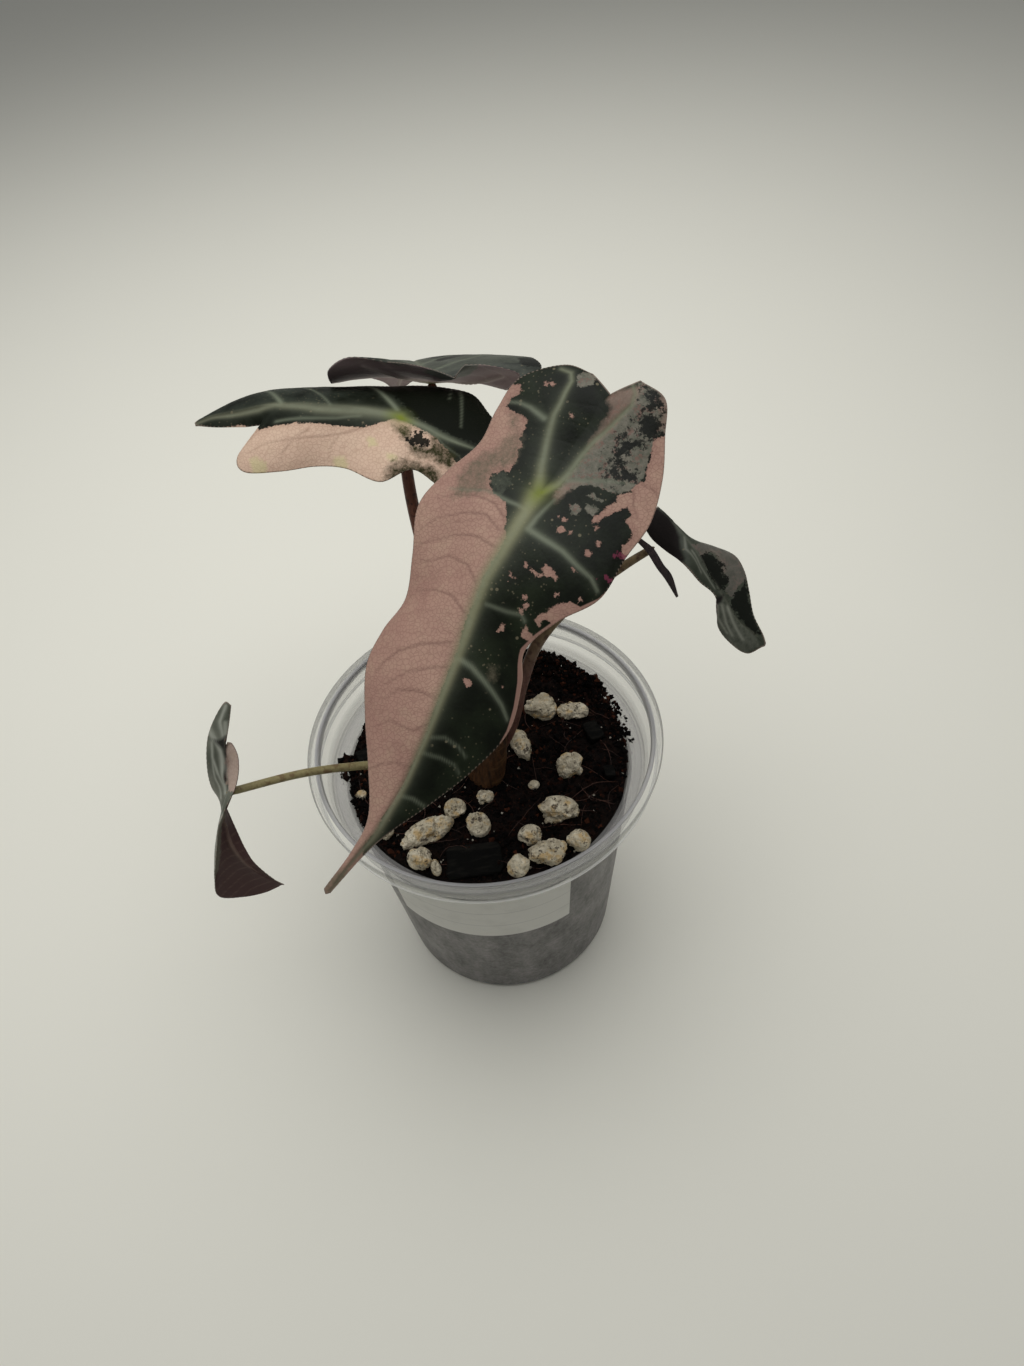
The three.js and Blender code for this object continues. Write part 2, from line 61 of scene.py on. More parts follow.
ahead = np.array([
    math.sin(YAW) * math.cos(PITCH), math.cos(YAW) * math.cos(PITCH), -math.sin(PITCH)
])
level = np.array([math.cos(YAW), -math.sin(YAW), 0.0])
upright = np.cross(level, ahead)
to_right = math.cos(ROLL) * level + math.sin(ROLL) * upright
to_top = math.cos(ROLL) * upright - math.sin(ROLL) * level

placing = np.eye(4)
placing[:3, 0], placing[:3, 1], placing[:3, 2], placing[:3, 3] = to_right, to_top, -ahead, EYE
lens = bpy.data.cameras.new("camera")
lens.sensor_width = 36
lens.lens = FOCAL_PIXELS / FRAME_HEIGHT * lens.sensor_width
camera = bpy.data.objects.new("camera", lens)
bpy.context.scene.collection.objects.link(camera)
camera.matrix_world = placing.T.tolist()
bpy.context.scene.camera = camera
print("lens:", round(lens.lens, 2), "mm")

# %% [markdown]
# ## Materials as expressions
#
# A material is a graph of nodes. Writing it as arithmetic keeps it readable, so a `Wire` wraps one
# socket and turns `+ - * /` into Math nodes. A `Finish` owns one material and adds any other node
# through a single method. Colours are linear, red green blue, as the renderer wants them.


# %% Wire and Finish
class Wire:
    """One output socket of a finish. Arithmetic on it adds a Math node."""

    def __init__(self, finish, socket):
        self.finish = finish
        self.socket = socket

    def maths(self, operation, *values, clamp=False):
        settings = {"operation": operation, "use_clamp": clamp}
        return self.finish.node("ShaderNodeMath", settings, dict(enumerate(values)))

    def __add__(self, other):
        return self.maths("ADD", self, other)

    def __sub__(self, other):
        return self.maths("SUBTRACT", self, other)

    def __rsub__(self, other):
        return self.maths("SUBTRACT", other, self)

    def __mul__(self, other):
        return self.maths("MULTIPLY", self, other)

    def __truediv__(self, other):
        return self.maths("DIVIDE", self, other)

    def __pow__(self, other):
        return self.maths("POWER", self, other)

    def __abs__(self):
        return self.maths("ABSOLUTE", self)

    __radd__ = __add__
    __rmul__ = __mul__

    def clip(self):
        """The value held between 0 and 1."""
        return self.maths("ADD", self, 0.0, clamp=True)

    def step(self, at, soft):
        """0 below `at`, 1 above it, with a ramp of width `soft` centred there."""
        return self.maths("MULTIPLY_ADD", self, 1 / soft, 0.5 - at / soft, clamp=True)


class Finish:
    """One material: its Principled shader and the nodes that feed it."""

    def __init__(self, name, **constants):
        self.material = bpy.data.materials.new(name)
        self.material.use_nodes = True
        self.tree = self.material.node_tree
        self.shader = self.tree.nodes["Principled BSDF"]
        for label, value in constants.items():
            self.shader.inputs[label.replace("_", " ")].default_value = value
        self.place = self.node("ShaderNodeTexCoord", out="Object")

    def node(self, kind, settings=None, inputs=None, out=0):
        """Adds a node: its settings first, then values or wires for its sockets."""
        def pick(sockets, key):
            named = {s.name: s for s in reversed(sockets) if s.enabled}
            return sockets[key] if isinstance(key, int) else named[key]

        made = self.tree.nodes.new(kind)
        for key, value in (settings or {}).items():
            setattr(made, key, value)
        for key, value in (inputs or {}).items():
            if isinstance(value, Wire):
                self.tree.links.new(value.socket, pick(made.inputs, key))
            else:
                pick(made.inputs, key).default_value = value
        return Wire(self, pick(made.outputs, out))

    def feed(self, label, wire):
        """Links a wire to one of the shader's own sockets."""
        self.tree.links.new(wire.socket, self.shader.inputs[label])

    def mix(self, share, plain, other):
        """`plain` where share is 0 and `other` where it is 1; both are colours or wires."""
        ends = [c if isinstance(c, Wire) else (*c, 1.0) for c in (plain, other)]
        sockets = {"Factor": share, "A": ends[0], "B": ends[1]}
        return self.node("ShaderNodeMix", {"data_type": "RGBA", "clamp_factor": True}, sockets, "Result")

    def coats(self, base, *coats):
        """`base` painted over with each pair of share and colour in turn."""
        for share, colour in coats:
            base = self.mix(share, base, colour)
        return base

    def scaled(self, size, stretch, shift):
        """The piece's own coordinates in units of `size` millimetres, stretched and shifted."""
        per_metre = tuple(1000 / size * s for s in stretch)
        return self.node("ShaderNodeMapping", {}, {0: self.place, 1: (shift,) * 3, 3: per_metre})

    def noise(self, size, detail=4.0, rough=0.55, stretch=(1, 1, 1), shift=0.0):
        """Cloudy noise, 0 to 1, whose blotches are about `size` millimetres across."""
        place = self.scaled(size, stretch, shift)
        sockets = {"Vector": place, "Scale": 1.0, "Detail": detail, "Roughness": rough}
        return self.node("ShaderNodeTexNoise", {}, sockets)

    def cells(self, size, feature="F1", shift=0.0):
        """Distance within a pattern of random cells about `size` millimetres across."""
        sockets = {"Vector": self.scaled(size, (1, 1, 1), shift), "Scale": 1.0}
        return self.node("ShaderNodeTexVoronoi", {"feature": feature}, sockets, "Distance")

    def height(self):
        """Millimetres above the base of the pot."""
        return self.node("ShaderNodeSeparateXYZ", {}, {0: self.place}, "Z") * 1000

    def measure(self, name):
        """A number stored at each point of the piece."""
        return self.node("ShaderNodeAttribute", {"attribute_name": name}, out="Fac")

    def bump(self, height, distance):
        """Feeds the shader's normal with a relief of `distance` millimetres for height 1."""
        sockets = {"Height": height, "Distance": distance * MM, "Strength": 1.0}
        self.feed("Normal", self.node("ShaderNodeBump", {}, sockets))


print("a finish has", len(Finish("trial").shader.inputs), "sockets")
bpy.data.materials.remove(bpy.data.materials["trial"])

# %% [markdown]
# ## Floor and light
#
# The plant stands on a plain pale floor in soft light. One wide lamp hangs behind the plant and
# shines straight down. It gives the glow on the leaves and the faint shadow in front, and its
# limited spread lets the floor darken toward the back. The sky is an even pale grey.

# %% Floor and light
FLOOR_COLOUR, FLOOR_HALF = (0.80, 0.785, 0.69), 4.0
LAMP_PLACE, LAMP_WIDTH, LAMP_POWER, LAMP_SPREAD = (-0.04, 0.25, 0.80), 1.0, 2.85, 101
SKY_COLOUR, SKY_STRENGTH = (0.95, 0.97, 1.0, 1.0), 0.23


def floor_grid(half, steps):
    """Flat square grid of the given half width, at height zero."""
    line = np.linspace(-half, half, steps)
    x, y = np.meshgrid(line, line, indexing="ij")
    return np.stack([x, y, np.zeros_like(x)], -1).reshape(-1, 3)


def grid_quads(rows, columns, ring=False):
    """Four corners of every cell of a grid; a ring also joins the last column to the first."""
    a = np.arange(rows - 1)[:, None] * columns
    k = np.arange(columns if ring else columns - 1)[None]
    after = (k + 1) % columns
    corners = [a + k, a + after, a + columns + after, a + columns + k]
    return np.stack(corners, -1).reshape(-1, 4)


def mesh_object(name, points, faces, finish, smooth=True, measures=None):
    """Puts points (metres) and faces into a new object, with numbers stored at its points."""
    mesh = bpy.data.meshes.new(name)
    mesh.from_pydata(np.asarray(points).tolist(), [], [list(f) for f in faces])
    mesh.materials.append(finish.material)
    mesh.polygons.foreach_set("use_smooth", [smooth] * len(mesh.polygons))
    for label, values in (measures or {}).items():
        stored = mesh.attributes.new(label, "FLOAT", "POINT")
        stored.data.foreach_set("value", np.asarray(values, np.float32).ravel())
    mesh.update()
    made = bpy.data.objects.new(name, mesh)
    bpy.context.scene.collection.objects.link(made)
    return made


def dress(piece, solid=None):
    """Lets a piece ride on the body and stand for its solid."""
    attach(piece, "root")
    if solid:
        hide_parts(solid)


def times(factor, colour):
    """The colour made darker or lighter."""
    return [factor * part for part in colour]


ground = Finish("pale_floor", Roughness=0.75)
cloudy = ground.noise(90, 3)
ground.feed("Base Color", ground.mix(cloudy, times(0.985, FLOOR_COLOUR), FLOOR_COLOUR))
floor = mesh_object("floor", floor_grid(FLOOR_HALF, 5), grid_quads(5, 5), ground)

lamp = bpy.data.lights.new("window", "AREA")
lamp.size, lamp.energy, lamp.spread = LAMP_WIDTH, LAMP_POWER, math.radians(LAMP_SPREAD)
holder = bpy.data.objects.new("window", lamp)
holder.location = LAMP_PLACE
bpy.context.scene.collection.objects.link(holder)

sky = bpy.data.worlds.new("sky")
sky.use_nodes = True
sky.node_tree.nodes["Background"].inputs["Color"].default_value = SKY_COLOUR
sky.node_tree.nodes["Background"].inputs["Strength"].default_value = SKY_STRENGTH
bpy.context.scene.world = sky
bpy.context.scene.view_settings.view_transform = "Standard"
print("floor", 2 * FLOOR_HALF, "m wide, lamp at", LAMP_PLACE)

# %% [markdown]
# ## Curves, noise and measuring
#
# Leaves, stalks and stones share a few pieces of arithmetic on whole arrays: a smooth curve
# through rows of points, a rough noise, and the distance from many points to a drawn line.


# %% Arithmetic on arrays
def smooth_curve(points, at):
    """Curve through the points, read at fractional indices.

    Between two points it is the cubic whose slope at each point is half the way from the point
    before to the point after. Past each end the last step is repeated.
    """
    points = np.asarray(points, float)
    full = np.concatenate([
        [2 * points[0] - points[1]], points, [2 * points[-1] - points[-2]]
    ])
    i = np.clip(np.asarray(at).astype(int), 0, len(points) - 2)
    t = (at - i).reshape(-1, *([1] * (points.ndim - 1)))
    a, b, c, d = (full[i + k] for k in range(4))
    return 0.5 * (
        2 * b + (c - a) * t + (2 * a - 5 * b + 4 * c - d) * t**2 + (3 * b - a - 3 * c + d) * t**3
    )


def one_noise(points, size, seed):
    """Noise from -1 to 1 whose blotches are about `size` across.

    Space is cut into cubes. Each corner draws a number from its place and the seed, and a point
    blends the eight corners of its cube, with smooth shares.
    """
    scaled = np.asarray(points, float) / size
    cell = np.floor(scaled).astype(np.int64)
    part = scaled - cell
    part = part * part * (3 - 2 * part)
    total = np.zeros(scaled.shape[:-1])
    for corner in itertools.product((0, 1), repeat=3):
        steps = cell + np.array(corner)
        drawn = steps @ np.array([73856093, 19349663, 83492791]) + seed * 9176321
        drawn = (drawn & 0xFFFFFFF) * 1103515245 & 0xFFFFFFFFFFF
        drawn = (drawn >> 13 ^ drawn) & 0xFFFFFFF
        drawn = (drawn * 374761393 & 0xFFFFFFFFFFF) >> 12 & 0xFFFF
        share = np.prod(np.where(corner, part, 1 - part), axis=-1)
        total += share * (drawn / 32767.5 - 1)
    return total


def rough_noise(points, size, seed, octaves=4):
    """Sum of noises, each half the size and half the height of the one before."""
    layers = [one_noise(points, size / 2**k, seed + k) / 2**k for k in range(octaves)]
    return sum(layers)


def around(sides):
    """Bearings in equal steps round a circle, in radians."""
    return np.linspace(0, 2 * np.pi, sides, endpoint=False)


FAR_OUTSIDE = 9.0  # millimetres, the depth given where no outline is near


def to_line(points, line):
    """Distance from each point to a drawn line, and how far along the line it is, 0 to 1."""
    lengths = np.linalg.norm(np.diff(line, axis=0), axis=1)
    done = np.concatenate([[0], np.cumsum(lengths)]) / max(lengths.sum(), 1e-9)
    nearest = np.full(len(points), np.inf)
    share = np.zeros(len(points))
    for start, end, low, high in zip(line[:-1], line[1:], done[:-1], done[1:]):
        way = end - start
        t = np.clip((points - start) @ way / max(way @ way, 1e-9), 0, 1)
        gap = np.linalg.norm(points - start - t[:, None] * way, axis=1)
        closer = gap < nearest
        nearest = np.where(closer, gap, nearest)
        share = np.where(closer, low + t * (high - low), share)
    return nearest, share


def pairs(numbers):
    """A flat list of numbers as rows of two."""
    return np.reshape(np.array(numbers, float), (-1, 2))


def depth_inside(points, outlines):
    """How deep each point lies inside the nearest of the outlines, negative outside.

    A point is inside an outline when a ray from it crosses the outline an odd number of times.
    """
    deepest = np.full(len(points), -FAR_OUTSIDE)
    for outline in outlines:
        loop = pairs([*outline, *outline[:2]])
        odd = np.zeros(len(points), bool)
        for (x0, y0), (x1, y1) in zip(loop[:-1], loop[1:]):
            if y0 != y1:
                crossing = x0 + (points[:, 1] - y0) / (y1 - y0) * (x1 - x0)
                spans = (y0 > points[:, 1]) != (y1 > points[:, 1])
                odd ^= spans & (points[:, 0] < crossing)
        gap, _ = to_line(points, loop)
        deepest = np.maximum(deepest, np.where(odd, gap, -gap))
    return deepest


trial = np.random.default_rng(1).uniform(-50, 50, (4000, 3))
print("noise spans", np.round([one_noise(trial, 7, 1).min(), one_noise(trial, 7, 1).max()], 2))

# %% [markdown]
# ## Leaves
#
# Each blade is a surface between its rib and its two edges, given by the same rows of points that
# shaped the solid, but worked out on a grid fine enough for veins. The frame of a leaf starts
# where the stalk meets it: "along" runs down the midrib, "across" to its left, "lift" off its
# upper face. Veins and colour patches are drawn lines and outlines in flattened coordinates,
# millimetres along the rib and out from it.

# %% Shapes of the five leaves
# Each row holds a point of the rib, the left edge and the right edge, from the tip to the base.
LEAVES = {
    "front": {
        "solid": "leaf_front", "slot": "leaf", "node": [24, -8, 214], "turn": [-137, 34, -15],
        "fineness": (22, 66), "rungs": 5.2, "sweep": 1.0,
        "rows": [
            [[117, 0, 0], [116, 1, 0], [116, -1, 0]],
            [[102, 2.8, 3], [103, 4.5, 2], [103.5, 1.2, 1.5]],
            [[86.5, 5.3, 4.5], [94, 8, 3], [93, 1.2, 3.5]],
            [[70, 5.6, 6.5], [82, 14, 3], [81.5, -5, 4.5]],
            [[56, 4.2, 7.5], [70, 19, 2], [71.5, -12, 3.5]],
            [[43, 2.4, 7], [57, 22, 0], [60, -18.7, 2]],
            [[31.5, 0.3, 6.5], [45, 19, -1], [50, -20, 0]],
            [[22, -0.8, 6], [37, 16, 1], [40, -19, -1]],
            [[12.5, -1, 4], [27, 20, 2], [29, -23, -1]],
            [[5.5, -0.5, 2], [17, 26.5, 1], [17, -28, -1]],
            [[0, 0, 0], [5, 27, -1], [6, -26, -2]],
            [[-7, 1, -1], [-6, 28, -3], [-5, -22, -3]],
            [[-14, 1, -2], [-17.5, 25.2, -4], [-15, -22.5, -4]],
            [[-21, 2, -2], [-27.5, 20.5, -4], [-25, -21, -4]],
            [[-27, 2, -2], [-36, 16, -4], [-33, -12, -4]],
            [[-31, 3, -3], [-37.5, 8, -3.5], [-34, -4, -4]],
        ],
    },
    "left": {
        "solid": "leaf_left", "slot": "pink_leaf", "node": [-9, 35, 213], "turn": [165, 2, -5],
        "fineness": (12, 44), "rungs": 6.0, "sweep": 0.8,
        "rows": [
            [[62, 0, 0], [61.5, 1, 0], [61.5, -1, 0]],
            [[56, -2, 1], [56, 0.8, -1], [58, -8, -2]],
            [[48, -2.8, 2], [47, 1, -1], [53, -15.5, -4]],
            [[40, -3.5, 3], [41, 1.5, -1], [45, -20, -5]],
            [[33, -3.5, 3], [48, 8.4, -5], [37, -22, -6]],
            [[26, -3.5, 3], [45, 14.3, -6], [30, -22, -6]],
            [[19, -2.5, 3], [34, 14.3, -6], [23, -21.8, -6]],
            [[12, -2.2, 2], [24, 12.5, -6], [16, -22, -6]],
            [[5, -1, 1], [15, 13.5, -6], [8, -21.5, -6]],
            [[0, 0, 0], [4, 19, -6], [0, -21.5, -6]],
            [[-6, 3, 0], [-4.6, 14.4, -6], [-8, -21.5, -7]],
            [[-12, 6, -1], [-14, 20, -8], [-17, -18, -7]],
            [[-18, 8, -2], [-23, 21, -8.5], [-23, -9, -6.5]],
            [[-24, 9.5, -3], [-30, 16, -8], [-29, 2, -5]],
        ],
    },
    "back": {
        "solid": "leaf_back", "slot": "leaf", "node": [1, 64, 205], "turn": [103, 30, 0],
        "fineness": (11, 40), "rungs": 6.5, "sweep": 1.0,
        "rows": [
            [[86, -3, -5], [85, -2, -5], [85, -4, -5]],
            [[74, -4, 0], [73, 3, 0], [69, -12, -1]],
            [[62, -5, 3], [64, 10, 4], [58, -22, 0]],
            [[48, -5, 5], [53, 15, 8], [43, -31, -1]],
            [[33, -4, 4], [39, 19, 10], [26, -36, -2]],
            [[17, -2, 2], [26, 23, 9], [11, -37, -3]],
            [[0, 0, 0], [14, 26, 8], [-2, -34, -6]],
            [[-7, 0, 0], [4, 29, 7], [-10, -20, -8]],
            [[-13, -1, 0], [-8, 30, 11], [-21, -22, -4]],
            [[-17, -2, 0], [-14, 24, 13], [-24, -13, 1]],
            [[-21, -3, 0], [-18, 14, 9], [-24, -6, 3]],
        ],
    },
    "low": {
        "solid": "leaf_low", "slot": "leaf", "node": [-77, -23, 131], "turn": [-69, 69, 0],
        "fineness": (12, 30), "rungs": 3.2, "sweep": 1.2,
        "rows": [
            [[39, 0, 0], [39.5, -0.8, -0.6], [39, 0.8, 0.6]],
            [[30, -5, 1], [39.5, -5.5, -1], [36, -1, 1]],
            [[23, -7, 2], [38, -12, -2], [27, -4, 2]],
            [[17, -8, 3], [33, -18.5, -1], [20, -5, 1]],
            [[11, -8, 3], [24, -17, 3], [13, -5, -3]],
            [[5, -6, 2], [14, -13.5, 7], [7, -5, -8]],
            [[0, -1, 0], [3.5, -8, 7.5], [0, -6, -8]],
            [[-5, 0, 0], [-4, 0.6, 5], [-10, -4, -5]],
            [[-9, 2, -1], [-10.5, 4.5, 3], [-20, 0.4, -3]],
            [[-13, 2.5, -1], [-15, 5, 1], [-27.2, 7.6, -2]],
            [[-14.5, 2.8, -1], [-16.3, 3.9, 0.5], [-25.7, 9.4, -2]],
        ],
    },
    "right": {
        "solid": "leaf_right", "slot": "leaf", "node": [59, 2, 181], "turn": [-40, 37, 45],
        "fineness": (12, 30), "rungs": 3.5, "sweep": 1.0,
        "rows": [
            [[43, 0, 0], [42.5, 0.8, 0], [42.5, -0.8, 0]],
            [[38, 0, 0], [40, 2, 0], [41, -5, 0]],
            [[31, 0, 1], [34, 4, -1], [36, -6.3, 1]],
            [[24, 2, 1], [28, 8, -2], [29, -5.5, 0]],
            [[17, 3, 1], [23, 11, -3], [22, 0, 2]],
            [[11, 5, 1], [18, 12, -5], [15, 0, 4]],
            [[6, 6, 1], [12, 9, -7], [10, 0.4, 6]],
            [[1.8, 6.4, 0.5], [9, 4, -8], [5.8, 0.2, 4]],
            [[-2, 6.5, 0], [6.6, 0, -7], [1.9, -0.6, 1]],
            [[-5.5, 6.5, -1], [0.8, 2.9, -7], [-2.8, -1, 0]],
            [[-8.3, 6.5, -2], [-5.4, 3.3, -5], [-7.1, -0.2, -1]],
        ],
    },
}
print("leaves:", ", ".join(LEAVES))

